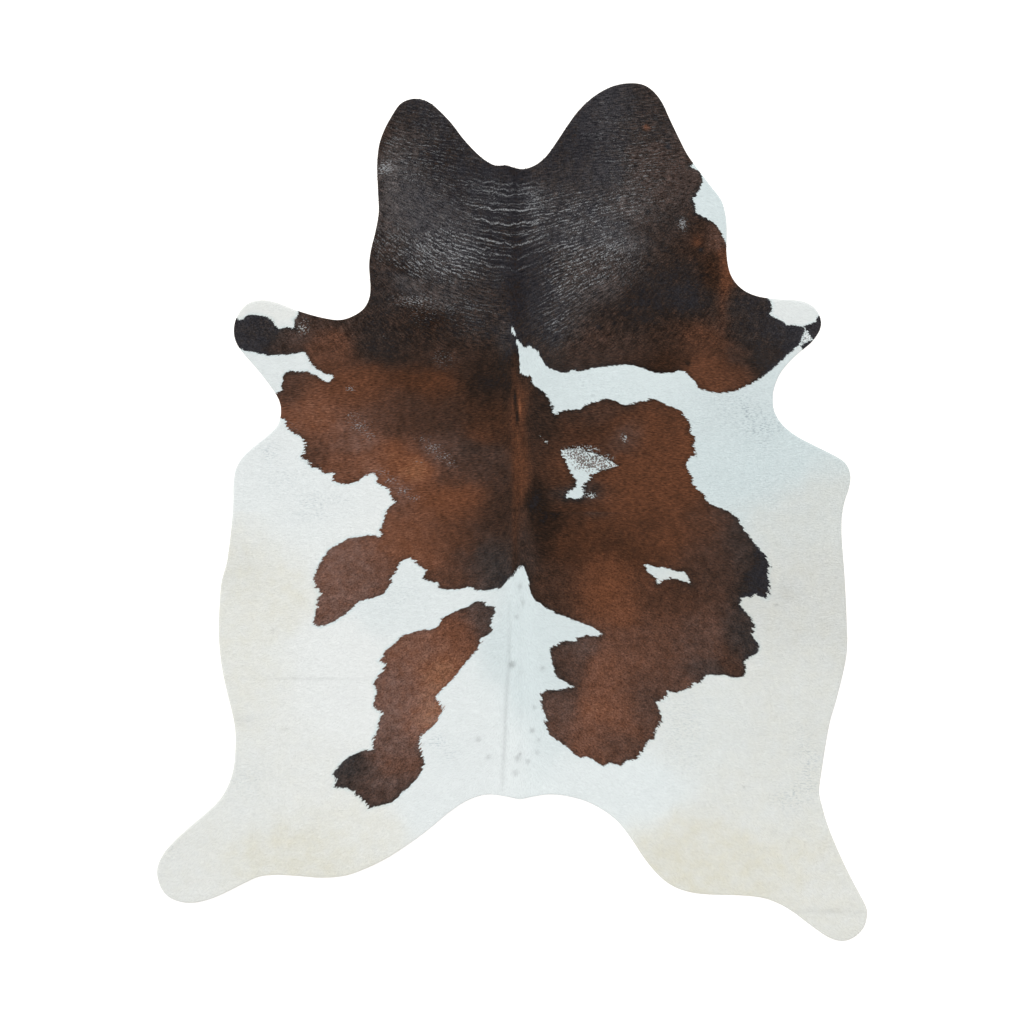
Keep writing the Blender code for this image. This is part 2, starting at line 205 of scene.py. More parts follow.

# ---------------------------------------------------------------------------------------------
# The tones of the coat, set one by one and tuned until mean colours over small areas agreed

# The brown coat. Tone runs from coal (0) over black, umber and brown to rust (0.8) and tan (1).
# The painted sheen is a pale colour painted over it where the hair catches the light. Between
# two places the tones run together.
BROWN_TONES = {
    # x mm, y mm, reach across mm, reach along mm, tone, painted sheen
    "left of the neck": [
        (-235, 1000, 80, 50, 0.10, 0.028),
        (-325, 930, 30, 80, 0.22, 0.028),
        (-255, 920, 70, 60, 0.14, 0.068),
        (-140, 905, 70, 70, 0.08, 0.028),
        (-240, 805, 90, 60, 0.03, 0.088),
        (-292, 820, 24, 75, 0.14, 0.150),
        (-140, 820, 50, 60, 0.02, 0.012),
        (-322, 740, 35, 70, 0.24, 0.078),
        (-190, 730, 100, 50, 0.02, 0.088),
        (-330, 672, 22, 24, 0.16, 0.020),
        (-335, 625, 40, 60, 0.21, 0.026),
        (-262, 608, 20, 13, 0.10, 0.000),
        (-256, 574, 24, 12, 0.12, 0.090),
        (-152, 645, 26, 18, 0.06, 0.080),
        (-168, 905, 30, 34, 0.06, 0.005),
        (-205, 630, 90, 40, 0.10, 0.058),
        (-60, 715, 55, 130, 0.00, 0.000),
        (-320, 555, 60, 40, 0.17, 0.040),
        (-105, 540, 70, 60, 0.13, 0.040),
        (-148, 542, 22, 14, 0.14, 0.080),
        (-190, 500, 26, 18, 0.13, 0.000),
        (-220, 480, 100, 50, 0.18, 0.018),
    ],
    "right of the neck": [
        (235, 1000, 60, 60, 0.03, 0.048),
        (360, 1005, 50, 60, 0.14, 0.038),
        (150, 930, 50, 70, 0.05, 0.016),
        (195, 865, 80, 40, 0.05, 0.052),
        (345, 880, 60, 60, 0.22, 0.058),
        (420, 800, 50, 60, 0.30, 0.058),
        (120, 755, 80, 70, 0.03, 0.044),
        (245, 715, 90, 50, 0.04, 0.068),
        (370, 715, 50, 50, 0.17, 0.038),
        (220, 590, 70, 50, 0.15, 0.063),
        (218, 540, 18, 16, 0.15, 0.090),
        (285, 540, 30, 22, 0.14, 0.010),
        (302, 678, 26, 18, 0.08, 0.110),
        (302, 782, 30, 24, 0.14, 0.090),
        (80, 575, 40, 90, 0.03, 0.018),
        (120, 465, 50, 40, 0.10, 0.053),
        (95, 468, 24, 18, 0.06, 0.015),
        (345, 605, 70, 60, 0.17, 0.018),
        (470, 685, 50, 50, 0.24, 0.008),
        (512, 682, 18, 16, 0.45, 0.050),
        (508, 608, 16, 30, 0.22, 0.000),
        (538, 615, 15, 100, 0.62, 0.008),
        (425, 555, 50, 40, 0.06, 0.018),
    ],
    "right shoulder and leg": [
        (320, 505, 80, 50, 0.18, 0.012),
        (195, 420, 90, 35, 0.27, 0.032),
        (370, 420, 50, 40, 0.30, 0.012),
        (372, 364, 30, 14, 0.28, 0.000),
        (580, 495, 60, 40, 0.13, 0.030),
        (582, 398, 16, 18, 0.36, 0.030),
        (500, 420, 60, 50, 0.48, 0.012),
        (530, 345, 50, 30, 0.60, 0.012),
        (630, 420, 45, 50, 0.11, 0.030),
        (695, 440, 50, 40, 0.00, 0.030),
    ],
    "left shoulder and leg": [
        (-640, 450, 60, 50, 0.00, 0.036),
        (-550, 425, 30, 40, 0.30, 0.052),
        (-455, 475, 50, 25, 0.26, 0.032),
        (-465, 400, 60, 35, 0.56, 0.027),
        (-340, 430, 50, 50, 0.16, 0.025),
        (-555, 320, 30, 30, 0.42, 0.032),
        (-505, 250, 60, 50, 0.82, 0.044),
        (-390, 315, 70, 40, 0.62, 0.012),
        (-505, 140, 40, 40, 0.48, 0.032),
        (-390, 205, 50, 40, 0.62, 0.082),
        (-362, 188, 20, 16, 0.75, 0.090),
        (-415, 120, 60, 40, 0.72, 0.037),
        (-315, 255, 50, 25, 0.42, 0.032),
    ],
    "back": [
        (-280, 130, 60, 50, 0.81, 0.010),
        (-225, 112, 22, 20, 0.95, 0.020),
        (-330, 118, 24, 24, 0.82, 0.060),
        (-240, 330, 80, 25, 0.50, 0.000),
        (-180, 390, 80, 40, 0.25, 0.020),
        (-215, 250, 70, 40, 0.38, 0.020),
        (-65, 335, 60, 36, 0.19, 0.010),
        (-65, 240, 60, 40, 0.35, 0.002),
        (-180, 155, 50, 35, 0.50, 0.060),
        (-118, 155, 24, 24, 0.27, 0.030),
        (-84, 220, 24, 20, 0.50, 0.010),
        (-90, 105, 60, 40, 0.36, 0.035),
        (-170, 30, 90, 35, 0.72, 0.012),
        (-270, 40, 35, 30, 0.64, 0.070),
        (-255, -60, 60, 60, 0.76, 0.030),
        (-140, -70, 50, 50, 0.55, 0.015),
        (-30, 5, 40, 60, 0.30, 0.015),
        (-70, -120, 70, 60, 0.17, 0.062),
        (-190, -160, 60, 30, 0.52, 0.030),
        (-195, -100, 30, 28, 0.80, 0.035),
        (-390, -145, 90, 90, 0.70, 0.118),
    ],
    "spine": [
        (10, 640, 24, 260, 0.02, 0.000),
        (-12, 430, 14, 22, 0.12, 0.050),
        (22, 330, 12, 20, 0.30, 0.015),
        (20, 268, 14, 46, 0.54, 0.010),
        (21, 80, 15, 110, 0.58, 0.005),
        (25, -80, 14, 50, 0.22, 0.030),
    ],
    "right side": [
        (70, 220, 35, 80, 0.23, 0.012),
        (195, 250, 90, 25, 0.38, 0.020),
        (260, 205, 60, 30, 0.44, 0.000),
        (268, 188, 26, 16, 0.48, 0.050),
        (380, 190, 70, 60, 0.61, 0.006),
        (110, 90, 45, 70, 0.48, 0.008),
        (65, 5, 30, 60, 0.13, 0.000),
        (160, 40, 42, 18, 0.22, 0.035),
        (320, 55, 110, 50, 0.62, 0.005),
        (160, -60, 60, 50, 0.38, 0.000),
        (345, -45, 90, 40, 0.53, 0.005),
        (270, -95, 60, 20, 0.44, 0.000),
        (245, -195, 70, 60, 0.68, 0.005),
        (285, -235, 30, 24, 0.72, 0.020),
        (110, -195, 60, 50, 0.35, 0.016),
        (380, -220, 80, 60, 0.42, 0.015),
        (510, -120, 60, 80, 0.41, 0.028),
        (618, -125, 30, 70, 0.03, 0.018),
        (565, -70, 30, 50, 0.24, 0.055),
    ],
    "right loin": [
        (587, -310, 30, 60, 0.20, 0.052),
        (545, -370, 40, 30, 0.42, 0.024),
        (470, -320, 60, 50, 0.48, 0.060),
        (480, -390, 25, 15, 0.30, 0.062),
        (320, -345, 80, 70, 0.54, 0.044),
        (135, -370, 40, 50, 0.34, 0.039),
        (235, -420, 50, 90, 0.70, 0.048),
        (120, -510, 40, 50, 0.48, 0.069),
        (225, -512, 32, 26, 0.84, 0.055),
        (300, -590, 30, 22, 0.48, 0.045),
        (165, -336, 24, 18, 0.42, 0.085),
        (245, -545, 90, 60, 0.70, 0.054),
        (345, -520, 25, 60, 0.45, 0.050),
    ],
    "rump": [
        (-75, -250, 40, 50, 0.39, 0.088),
        (-145, -320, 50, 60, 0.72, 0.033),
        (-240, -345, 50, 40, 0.80, 0.084),
        (-190, -420, 50, 40, 0.92, 0.050),
        (-290, -460, 50, 60, 0.66, 0.126),
        (-215, -500, 40, 30, 0.97, 0.116),
        (-305, -570, 50, 40, 0.58, 0.116),
        (-280, -625, 50, 30, 0.58, 0.066),
        (-410, -640, 45, 40, 0.17, 0.066),
        (-330, -672, 35, 20, 0.45, 0.105),
        (-340, -685, 60, 30, 0.36, 0.048),
    ],
}

# The white coat: how cold, how creamy and how dull it is. The dull and cold tones are partly the
# hair's own greys and blues and partly the soft shade over wide parts of it, painted in.
WHITE_TONES = {
    # x mm, y mm, reach across mm, reach along mm, cold, cream, dull
    "right of the neck and shoulder": [
        (500, 780, 60, 90, 0.70, 0.00, 0.10),
        (705, 500, 60, 40, 0.15, 0.05, 0.15),
        (270, 325, 200, 40, 0.65, 0.00, 0.08),
        (70, 360, 50, 60, 0.70, 0.00, 0.30),
        (620, 155, 120, 90, 0.80, 0.00, 0.32),
        (570, 280, 90, 50, 0.70, 0.00, 0.35),
    ],
    "right belly and hind leg": [
        (770, -20, 70, 60, 0.30, 0.25, 0.60),
        (770, -220, 90, 120, 0.10, 0.34, 0.76),
        (695, -470, 90, 90, 0.10, 0.30, 0.45),
        (620, -720, 90, 60, 0.10, 0.30, 0.35),
        (530, -860, 130, 60, 0.00, 0.74, 0.30),
        (820, -985, 70, 80, 0.00, 0.40, 0.35),
        (470, -520, 80, 70, 0.20, 0.20, 0.30),
        (270, -700, 90, 50, 0.30, 0.00, 0.05),
    ],
    "rump": [
        (45, -370, 60, 130, 0.66, 0.00, 0.26),
        (-80, -570, 80, 90, 0.20, 0.00, 0.00),
        (-205, -700, 60, 60, 0.20, 0.00, 0.00),
        (-280, -220, 100, 40, 0.28, 0.00, 0.06),
    ],
    "left of the body": [
        (-455, -420, 90, 160, 0.00, 0.05, 0.00),
        (-665, -270, 70, 170, 0.00, 0.40, 0.08),
        (-585, -220, 35, 30, 0.00, 0.52, 0.06),
        (-685, -135, 35, 40, 0.00, 0.45, 0.25),
        (-630, 80, 90, 90, 0.15, 0.00, 0.00),
        (-645, 330, 80, 60, 0.25, 0.00, 0.12),
        (-625, 510, 70, 30, 0.00, 0.15, 0.10),
        (-530, -845, 110, 50, 0.00, 0.68, 0.14),
        (-805, -895, 80, 70, 0.00, 0.25, 0.20),
        (-680, -695, 80, 70, 0.05, 0.20, 0.15),
        (-530, -645, 90, 80, 0.00, 0.20, 0.10),
        (-405, -800, 60, 40, 0.00, 0.40, 0.05),
    ],
}

# Where the crests of fine wrinkles shine, with glints painted into the colour.
PAINTED_GLINT_LINES = (
    # x mm, y mm, reach across mm, reach along mm, strength
    (-168, 648, 86, 46, 3.3),
    (-290, 680, 60, 50, 0.6),
    (-80, 700, 80, 70, 0.16),
    (-90, 780, 70, 60, 0.20),
    (-125, 588, 52, 34, 0.75),
    (-105, 498, 42, 38, 0.5),
    (-190, 800, 100, 90, 0.30),
    (-260, 900, 70, 60, 0.4),
    (60, 790, 45, 45, 0.30),
    (70, 710, 60, 50, 0.65),
    (170, 740, 100, 50, 0.9),
    (210, 650, 90, 45, 1.5),
    (152, 590, 60, 45, 0.9),
    (285, 788, 85, 50, 0.65),
    (340, 870, 90, 50, 0.35),
    (120, 520, 45, 40, 0.75),
    (210, 570, 45, 30, 0.5),
    (110, 465, 40, 40, 0.25),
    (250, 648, 28, 9, 2.2),
    (285, 682, 32, 16, 0.9),
    (142, 595, 20, 8, 1.2),
    (-200, 960, 110, 90, 0.25),
    (270, 950, 130, 90, 0.28),
)

# Where the coat glints in small flecks, painted into the colour.
PAINTED_GLINT_FLECKS = (
    # x mm, y mm, reach across mm, reach along mm, strength
    (-315, 860, 30, 20, 1.5),
    (-45, 800, 24, 32, 0.65),
    (58, 780, 28, 32, 0.9),
    (-240, 530, 62, 18, 0.95),
    (-150, 512, 22, 15, 0.65),
    (-215, 490, 45, 28, 0.45),
    (-400, 240, 22, 10, 0.7),
    (-380, 215, 26, 13, 1.0),
    (-355, 190, 22, 12, 0.7),
    (-222, 182, 18, 9, 0.8),
    (-196, 160, 22, 12, 1.1),
    (-170, 138, 22, 11, 0.9),
    (-150, 120, 16, 9, 0.7),
    (-228, 126, 16, 7, 0.5),
    (-325, 100, 18, 10, 0.9),
    (-300, 78, 20, 10, 1.0),
    (-272, 55, 22, 10, 1.0),
    (-245, 35, 22, 8, 0.8),
    (-562, 205, 28, 25, 0.5),
    (425, 720, 10, 16, 1.8),
    (-170, 385, 30, 25, 0.5),
    (-403, 308, 10, 7, 1.6),
    (-320, 438, 12, 6, 0.6),
)

# Where the brown coat has white hairs, and their share.
WHITE_HAIRS = (
    # x mm, y mm, reach across mm, reach along mm, share
    (176, 158, 40, 9, 0.40),
    (226, 136, 30, 9, 0.28),
    (279, 185, 7, 10, 0.52),
    (-520, 462, 18, 24, 0.22),
    (165, 48, 30, 12, 0.25),
    (83, 175, 3.2, 1.6, 1.60),
    (72, 187, 2.5, 2.6, 0.50),
    (197, 41, 9, 6, 0.60),
)

# Where the white coat has brown hairs, and their share, up to the most that there is.
MOST_BROWN_HAIRS = 0.64
BROWN_HAIRS = (
    # x mm, y mm, reach across mm, reach along mm, share
    (156, 150, 23, 14, 1.00),
    (190, 124, 32, 18, 1.10),
    (232, 124, 32, 15, 1.00),
    (88, -518, 8, 20, 0.30),
    (735, 430, 20, 25, 0.30),
)

# Where the skin shows blue-grey through the white.
SPECKLES = (
    # x mm, y mm, reach across mm, reach along mm, strength
    (-618, 155, 25, 20, 1.0),
    (-580, 90, 60, 40, 0.5),
    (-485, 25, 40, 30, 0.8),
    (-418, 42, 15, 15, 0.6),
    (608, 225, 70, 60, 0.8),
    (530, 250, 80, 40, 0.5),
    (620, 60, 90, 60, 0.4),
    (750, -632, 35, 80, 0.9),
    (695, -700, 40, 30, 0.8),
    (-655, -670, 60, 40, 0.5),
    (420, -545, 60, 90, 0.6),
    (-850, -858, 50, 40, 0.5),
    (220, 318, 150, 30, 0.4),
    (-155, -600, 50, 30, 0.3),
    (-280, -195, 60, 30, 0.4),
    (-150, -600, 20, 20, 0.5),
    (-198, -563, 18, 18, 1.5),
    (573, 242, 9, 25, 0.9),
    (608, 205, 38, 12, 0.9),
    (615, 168, 12, 10, 0.9),
)

# Small spots in the brown coat, darker or lighter.
BROWN_MARKS = (
    # x mm, y mm, reach across mm, reach along mm, change of tone
    (182, 988, 8, 8, -0.50),
    (-95, 802, 7, 7, -0.40),
    (-125, 855, 7, 7, -0.30),
    (195, 748, 8, 8, -0.40),
    (265, 788, 5, 5, -0.40),
    (388, 915, 6, 6, -0.40),
    (470, 655, 7, 7, -0.40),
    (438, 372, 6, 6, -0.30),
    (215, 463, 8, 8, -0.20),
    (335, 962, 9, 7, 0.60),
    (462, 675, 12, 14, 0.30),
    (8, 285, 4, 24, -0.45),  # the slit beside the spine, a parting darkened with painted shade
    (13, 240, 4, 22, -0.45),
    (20, 262, 3, 20, 0.45),
)

# Small grey spots and thin lines in the white coat, and a painted shadow in a crease.
WHITE_MARKS = (
    # x mm, y mm, reach across mm, reach along mm, dullness
    (0, -380, 7, 7, 1.9),
    (12, -260, 6, 6, 0.9),
    (20, -185, 5, 7, 1.1),
    (28, -225, 5, 7, 0.9),
    (50, -545, 6, 6, 1.6),
    (55, -487, 5, 5, 1.1),
    (66, -568, 5, 5, 0.9),
    (-84, -568, 7, 7, 1.0),
    (-58, -612, 6, 6, 1.1),
    (14, -614, 7, 7, 1.2),
    (20, -603, 4, 4, 1.8),
    (40, -622, 6, 6, 1.3),
    (62, -600, 5, 5, 1.0),
    (8, -650, 7, 7, 1.1),
    (75, -390, 6, 6, 1.1),
    (-222, -580, 4, 4, 1.0),
    (578, -686, 3, 3, 1.4),
    (658, -232, 3, 3, 1.6),
    (199, 292, 4, 4, 1.0),
    (-597, -295, 3, 7, 0.8),
    (-505, -416, 110, 4, 0.4),
    # a painted shadow along the crease across the tip of the right hind leg
    (795, -998, 80, 5, 0.5),
    (-567, -542, 10, 3, 0.8),
    (-668, -520, 38, 12, 0.3),
    (690, -200, 30, 30, 0.3),
)

# The thin grey line from the end of the spine to the tail.
TAIL_LINE = (
    # x mm, y mm, dullness
    (-5, -220, 0.2),
    (-7, -370, 0.5),
    (-14, -470, 0.7),
    (-18, -570, 0.7),
    (-25, -695, 0.4),
)
TAIL_LINE_REACH = 5 * MM

# ---------------------------------------------------------------------------------------------
# The relief, as on the frame's solid

SPINE_X = 15 * MM
SPINE_TOP, SPINE_FOOT = 800 * MM, -640 * MM
SPINE_HALF_WIDTH = 18 * MM
SPINE_HEIGHT = 1.3 * MM

FOLD_HALF_WIDTH = 9 * MM
FOLD_TAPER = 70 * MM  # over which a fold dies out at each end
LEFT_SLOPE, LEFT_CURVE = 0.04, 1.15  # climb per metre, and its increase per metre
RIGHT_SLOPE, RIGHT_CURVE = 0.12, 0.28
FOLDS = (
    # up the spine mm, left reach mm, right reach mm, height mm
    (798, 150, 150, 0.8),
    (752, 190, 330, 1.1),
    (717, 250, 370, 1.2),
    (685, 290, 390, 1.3),
    (655, 310, 380, 1.2),
    (622, 320, 330, 1.3),
    (590, 315, 290, 1.1),
    (556, 310, 240, 1.0),
    (522, 290, 200, 0.9),
    (486, 220, 160, 0.7),
)
# The share of the folds' climb that the fine wrinkles take, up the neck.
WRINKLE_CLIMB = (
    # y mm, left share, right share
    (1100, 0.25, 0.0),
    (880, 0.50, 0.3),
    (780, 1.00, 1.2),
    (680, 1.00, 2.3),
    (600, 1.00, 2.8),
    (480, 1.00, 3.0),
)
# The wrinkles that cross the spine, with bright glints painted on them.
CROSSINGS = (
    # y mm, strength
    (605, 0.35),
    (635, 0.35),
    (666, 1.0),
    (690, 0.5),
    (714, 1.4),
    (750, 1.5),
    (767, 0.4),
    (796, 0.7),
    (807, 0.5),
    (821, 0.4),
)
CROSSING_WIDTH = 5.2 * MM
CROSSING_FROM, CROSSING_TO = 590 * MM, 835 * MM
CROSSING_X, CROSSING_REACH = -12 * MM, 120 * MM

WRINKLE_HEIGHT = 0.35 * MM
WRINKLE_STEP = 10.5 * MM  # between two fine wrinkles
WRINKLE_WIDTH, WRINKLE_STRETCH = 8 * MM, 5  # one wrinkle, and how many times longer it is
COAT_WAVE, COAT_WAVE_SHARE = 60 * MM, 0.5  # low waves all over, as a share of a wrinkle's height
WRINKLE_SEED, COAT_WAVE_SEED = 41, 42

CREASE_Y = -998 * MM
CREASE_FROM_X, CREASE_TO_X = 728 * MM, 862 * MM
CREASE_HALF_WIDTH = 12 * MM
CREASE_DEPTH = 0.8 * MM

# How the undercoat rounds off towards the cut edge.
COAT_RIM = (
    # inset mm, share of the undercoat's height
    (0.6, 0.35),
    (2.0, 0.75),
    (4.5, 1.0),
)

# How soft spots wander, and how the fine wrinkles stray from their climb.
SPOT_STRAYS = (
    # wave mm, reach mm, seed
    (110, 24, 10),
    (34, 9, 20),
)
WRINKLE_STRAYS = (
    # wave mm, reach mm, seed
    (90, 6, 31),
    (25, 2, 32),
)
STRAIGHT_REACH = 70 * MM  # on each side of the spine, where spots wander less across it

PARTING_X, PARTING_REACH = 8 * MM, 12 * MM  # the dark line up the neck
PARTING_SHARE = 0.7  # of the painted sheen and the painted glints that is missing there
DARK_RIM, DARK_RIM_REACH = 0.16, 11 * MM  # brown hair has a darker tone beside white
COLD_RIM, COLD_RIM_REACH = 0.8, 7 * MM  # white hair is cold beside brown
MARK_CLEARING = 2.0  # painted sheen that a dark mark loses, for each step of its tone
TONE_FALL, TONE_CORE = 2.2, 0.08  # how fast a tone gives way to others, and how flat it starts

# The hair runs straight down beside the spine, and further off it turns outwards.
HAIR_WAY = (
    # y mm, straight reach mm, fall for each metre outwards
    (1000, 250, 0.50),
    (520, 250, 0.45),
    (330, 45, 0.22),
    (0, 40, 0.20),
    (-300, 40, 0.42),
    (-600, 60, 0.55),
    (-1000, 150, 1.00),
)


# ---------------------------------------------------------------------------------------------
# Sizes and colours that a user would change


def colour(name, description, default):
    return FloatVectorProperty(
        name=name, description=description, default=default,
        subtype="COLOR", size=3, min=0, max=1,
    )


def size(name, description, default):
    return FloatProperty(
        name=name, description=description, default=default, unit="LENGTH", precision=4,
    )


class CowhideLeather(bpy.types.PropertyGroup):
    thickness: size("Leather", "Thickness of the tanned skin", 2.5 * MM)
    undercoat: size("Undercoat", "Height of the dense hair over the leather", 2.0 * MM)
    ground_step: size("Ground step", "Between two points that hold the pattern", 3 * MM)
    rim_step: size("Rim step", "Between two points of the cut edge", 6 * MM)
    suede: colour("Suede", "Flesh side and cut edge of the leather", (0.66, 0.56, 0.42))


class CowhideCoat(bpy.types.PropertyGroup):
    length: size("Lock length", "Length of a lock of hair", 14 * MM)
    width: size("Lock width", "Width of a lock of hair", 2.2 * MM)
    locks: IntProperty(name="Locks", description="Locks in all", default=384000)
    coal: colour("Coal", "Blue-black hair", (0.018, 0.017, 0.021))
    black: colour("Black", "Brown-black hair", (0.014, 0.008, 0.005))
    umber: colour("Umber", "Dark brown hair", (0.039, 0.018, 0.010))
    brown: colour("Brown", "Middle brown hair", (0.075, 0.030, 0.015))
    rust: colour("Rust", "Red brown hair", (0.172, 0.061, 0.027))
    tan: colour("Tan", "Lightest red hair", (0.260, 0.108, 0.050))
    # The sheen of light on brown hair, painted over its colour.
    sheen_paint: colour("Bloom", "Pale film over brown hair", (0.42, 0.40, 0.41))
    # Highlights painted on brown hair as its glints.
    glint_paint: colour("Silver", "Glints on brown hair", (0.36, 0.37, 0.38))
    white: colour("White", "Plain white hair", (0.84, 0.862, 0.855))
    cold: colour("Cold white", "Bluish white hair", (0.68, 0.78, 0.79))
    cream: colour("Cream", "Creamy white hair", (0.77, 0.755, 0.65))
    skin: colour("Skin", "Blue-grey skin that shows through white hair", (0.42, 0.49, 0.52))


# ---------------------------------------------------------------------------------------------
# Flat geometry of the hide

NOTHING = 1e-300  # stands in for 0 where it would divide
EDGE_REACH = 80 * MM  # up to which a distance to an outline is exact
KEEP_INSIDE, SAME_POINT = 1, 1e-7  # how delaunay_2d_cdt fills a loop, and which points it joins
WELD = 0.01 * MM
FACING_DOWN = -0.9  # a normal's Z below this


def points_of(stretches):
    """The points of an outline given as named stretches, in metres."""
    return np.array([point for stretch in stretches.values() for point in stretch]) * MM


def smooth_loop(points, pieces=4):
    """A closed Catmull-Rom curve through the points, each span in that many pieces."""
    before, start = np.roll(points, 1, axis=0), points
    end, after = np.roll(points, -1, axis=0), np.roll(points, -2, axis=0)
    spans = [
        0.5 * (2 * start + (end - before) * t
               + (2 * before - 5 * start + 4 * end - after) * t**2
               + (3 * start - before - 3 * end + after) * t**3)
        for t in np.arange(pieces) / pieces
    ]
    return np.stack(spans, axis=1).reshape(-1, 2)


def even_loop(points, step):
    """The closed loop again with points an even distance apart, nearest to step."""
    closed = np.vstack([points, points[:1]])
    along = np.concatenate([[0], np.cumsum(np.hypot(*np.diff(closed, axis=0).T))])
    marks = np.linspace(0, along[-1], round(along[-1] / step), endpoint=False)
    return np.column_stack([np.interp(marks, along, closed[:, axis]) for axis in (0, 1)])


def inset_loop(loop, distance):
    """The clockwise loop moved inwards by the distance."""
    tangent = np.roll(loop, -1, axis=0) - np.roll(loop, 1, axis=0)
    tangent /= np.hypot(*tangent.T)[:, None]
    return loop + distance * np.column_stack([tangent[:, 1], -tangent[:, 0]])


def inside_distance(points, loop, reach=EDGE_REACH, batch=2000):
    """Distance from each point to the closed loop, above 0 inside it and below 0 outside.

    It is exact up to the reach. Points that are sorted up the hide are fast, because only the
    edges that lie level with a batch of points are measured.
    """
    start, end = loop, np.roll(loop, -1, axis=0)
    lowest, highest = np.minimum(start[:, 1], end[:, 1]), np.maximum(start[:, 1], end[:, 1])
    found = []
    for first in range(0, len(points), batch):
        x, y = (points[first:first + batch, axis:axis + 1] for axis in (0, 1))
        level = (lowest < y.max() + reach) & (highest > y.min() - reach)
        from_x, from_y = start[level].T
        to_x, to_y = (end[level] - start[level]).T
        dx, dy = x - from_x, y - from_y
        length2 = np.maximum(to_x**2 + to_y**2, NOTHING)
        share = np.clip((dx * to_x + dy * to_y) / length2, 0, 1)
        gap2 = (dx - share * to_x) ** 2 + (dy - share * to_y) ** 2
        gap = np.sqrt(gap2.min(axis=1, initial=reach**2))
        rises = (dy < 0) != (dy < to_y)
        crossed = rises & (dx < dy * to_x / np.where(to_y == 0, 1, to_y))
        found.append(np.where(crossed.sum(axis=1) % 2 == 1, gap, -gap))
    return np.concatenate(found)


def fill(loop, inner_points):
    """Triangles over the inside of a loop: its points, then the inner ones, and the triangles."""
    points = np.vstack([loop, inner_points])
    found = delaunay_2d_cdt(
        [tuple(p) for p in points], [], [list(range(len(loop)))], KEEP_INSIDE, SAME_POINT
    )
    originals = [sources[0] for sources in found[3]]
    return points, [[originals[corner] for corner in face] for face in found[2]]


def cut_edge(step):
    """The hide's outline, clockwise: the lower edge of the frame's solid, made smooth."""
    solid = bmesh.new()
    solid.from_mesh(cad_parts["hide"].data)
    bmesh.ops.remove_doubles(solid, verts=solid.verts[:], dist=WELD)
    lower = {}
    for edge in solid.edges:
        down = [face for face in edge.link_faces if face.normal.z < FACING_DOWN]
        if len(down) == 1 and len(edge.link_faces) == 2:
            for loop in down[0].loops:
                if loop.edge == edge:
                    lower[loop.vert.index] = loop.link_loop_next.vert.index
    first = next(iter(lower))
    order, following = [first], lower[first]
    while following != first:
        order.append(following)
        following = lower[following]
    solid.verts.ensure_lookup_table()
    loop = np.array([solid.verts[i].co.xy for i in order])
    solid.free()
    return even_loop(smooth_loop(loop if signed_area(loop) < 0 else loop[::-1]), step)


def signed_area(loop):
    """The area inside a loop, below 0 where it runs clockwise."""
    x, y = loop.T
    return 0.5 * np.sum(x * np.roll(y, -1) - np.roll(x, -1) * y)


# ---------------------------------------------------------------------------------------------
# Fields over the hide

LATTICE = 256  # numbers each way in a noise, before it repeats


def fade(distance, length):
    """1 at no distance, falling to 0 at the length."""
    return np.clip(1 - distance / length, 0, 1)


def soft_noise(points, wave, seed):
    """Smooth noise between -1 and 1 with waves of about that size."""
    lattice = np.random.default_rng(seed).uniform(-1, 1, (LATTICE, LATTICE))
    low = np.floor(points / wave).astype(int)
    share = points / wave - low
    share_x, share_y = (share * share * (3 - 2 * share)).T
    x, y = (low % (LATTICE - 1)).T
    lower = lattice[x, y] * (1 - share_x) + lattice[x + 1, y] * share_x
    upper = lattice[x, y + 1] * (1 - share_x) + lattice[x + 1, y + 1] * share_x
    return lower * (1 - share_y) + upper * share_y


def wandering(points):
    """The places moved a little, so that soft spots come out as irregular as on a hide.

    Near the spine none moves across, because its stripe is straight.
    """
    moved = points.copy()
    from_spine = 1 - fade(np.abs(points[:, 0] - SPINE_X), STRAIGHT_REACH)
    for wave, reach, seed in SPOT_STRAYS:
        moved[:, 0] += reach * MM * soft_noise(points, wave * MM, seed) * from_spine
        moved[:, 1] += reach * MM * soft_noise(points, wave * MM, seed + 1)
    return moved


def spot_distance2(points, x, y, across, along):
    """The square of the distance from a spot's middle, in its own reaches."""
    return (((points[:, 0] - x * MM) / (across * MM)) ** 2
            + ((points[:, 1] - y * MM) / (along * MM)) ** 2)


def mean_tones(points, table):
    """The tones at each place: a mean of the table's rows, in which near ones count most."""
    total, weight = 0, NOTHING
    for x, y, across, along, *tones in (row for region in table.values() for row in region):
        far = np.sqrt(spot_distance2(points, x, y, across, along) + TONE_CORE)
        share = np.exp(-TONE_FALL * far) / (across * along)
        total += share[:, None] * np.array(tones)
        weight += share
    return (total / weight[:, None]).T


def soft_spots(points, rows):
    """The sum of soft spots, each a row of place, reaches and strength."""
    total = np.zeros(len(points))
    for *spot, strength in rows:
        total += strength * np.exp(-spot_distance2(points, *spot))
    return total


def brown_distance(points):
    """How far inside the brown coat a place lies, below 0 in the white."""
    depth = inside_distance(points, points_of(MAIN_PATCH))
    patches = [points_of(RUMP_PATCH)]
    patches += [points_of({name: stretch}) for name, stretch in LEG_TIP_PATCHES.items()]
    for patch in patches:
        depth = np.maximum(depth, inside_distance(points, patch))
    for name, stretch in WHITE_ISLANDS.items():
        depth = np.minimum(depth, -inside_distance(points, points_of({name: stretch})))
    return depth


def tail_line(points):
    """How dull the thin line to the tail makes a place."""
    x, y, dullness = np.array(TAIL_LINE[::-1]).T
    across = points[:, 0] - np.interp(points[:, 1], y * MM, x * MM)
    strength = np.interp(points[:, 1], y * MM, dullness, left=0, right=0)
    return strength * np.exp(-((across / TAIL_LINE_REACH) ** 2))


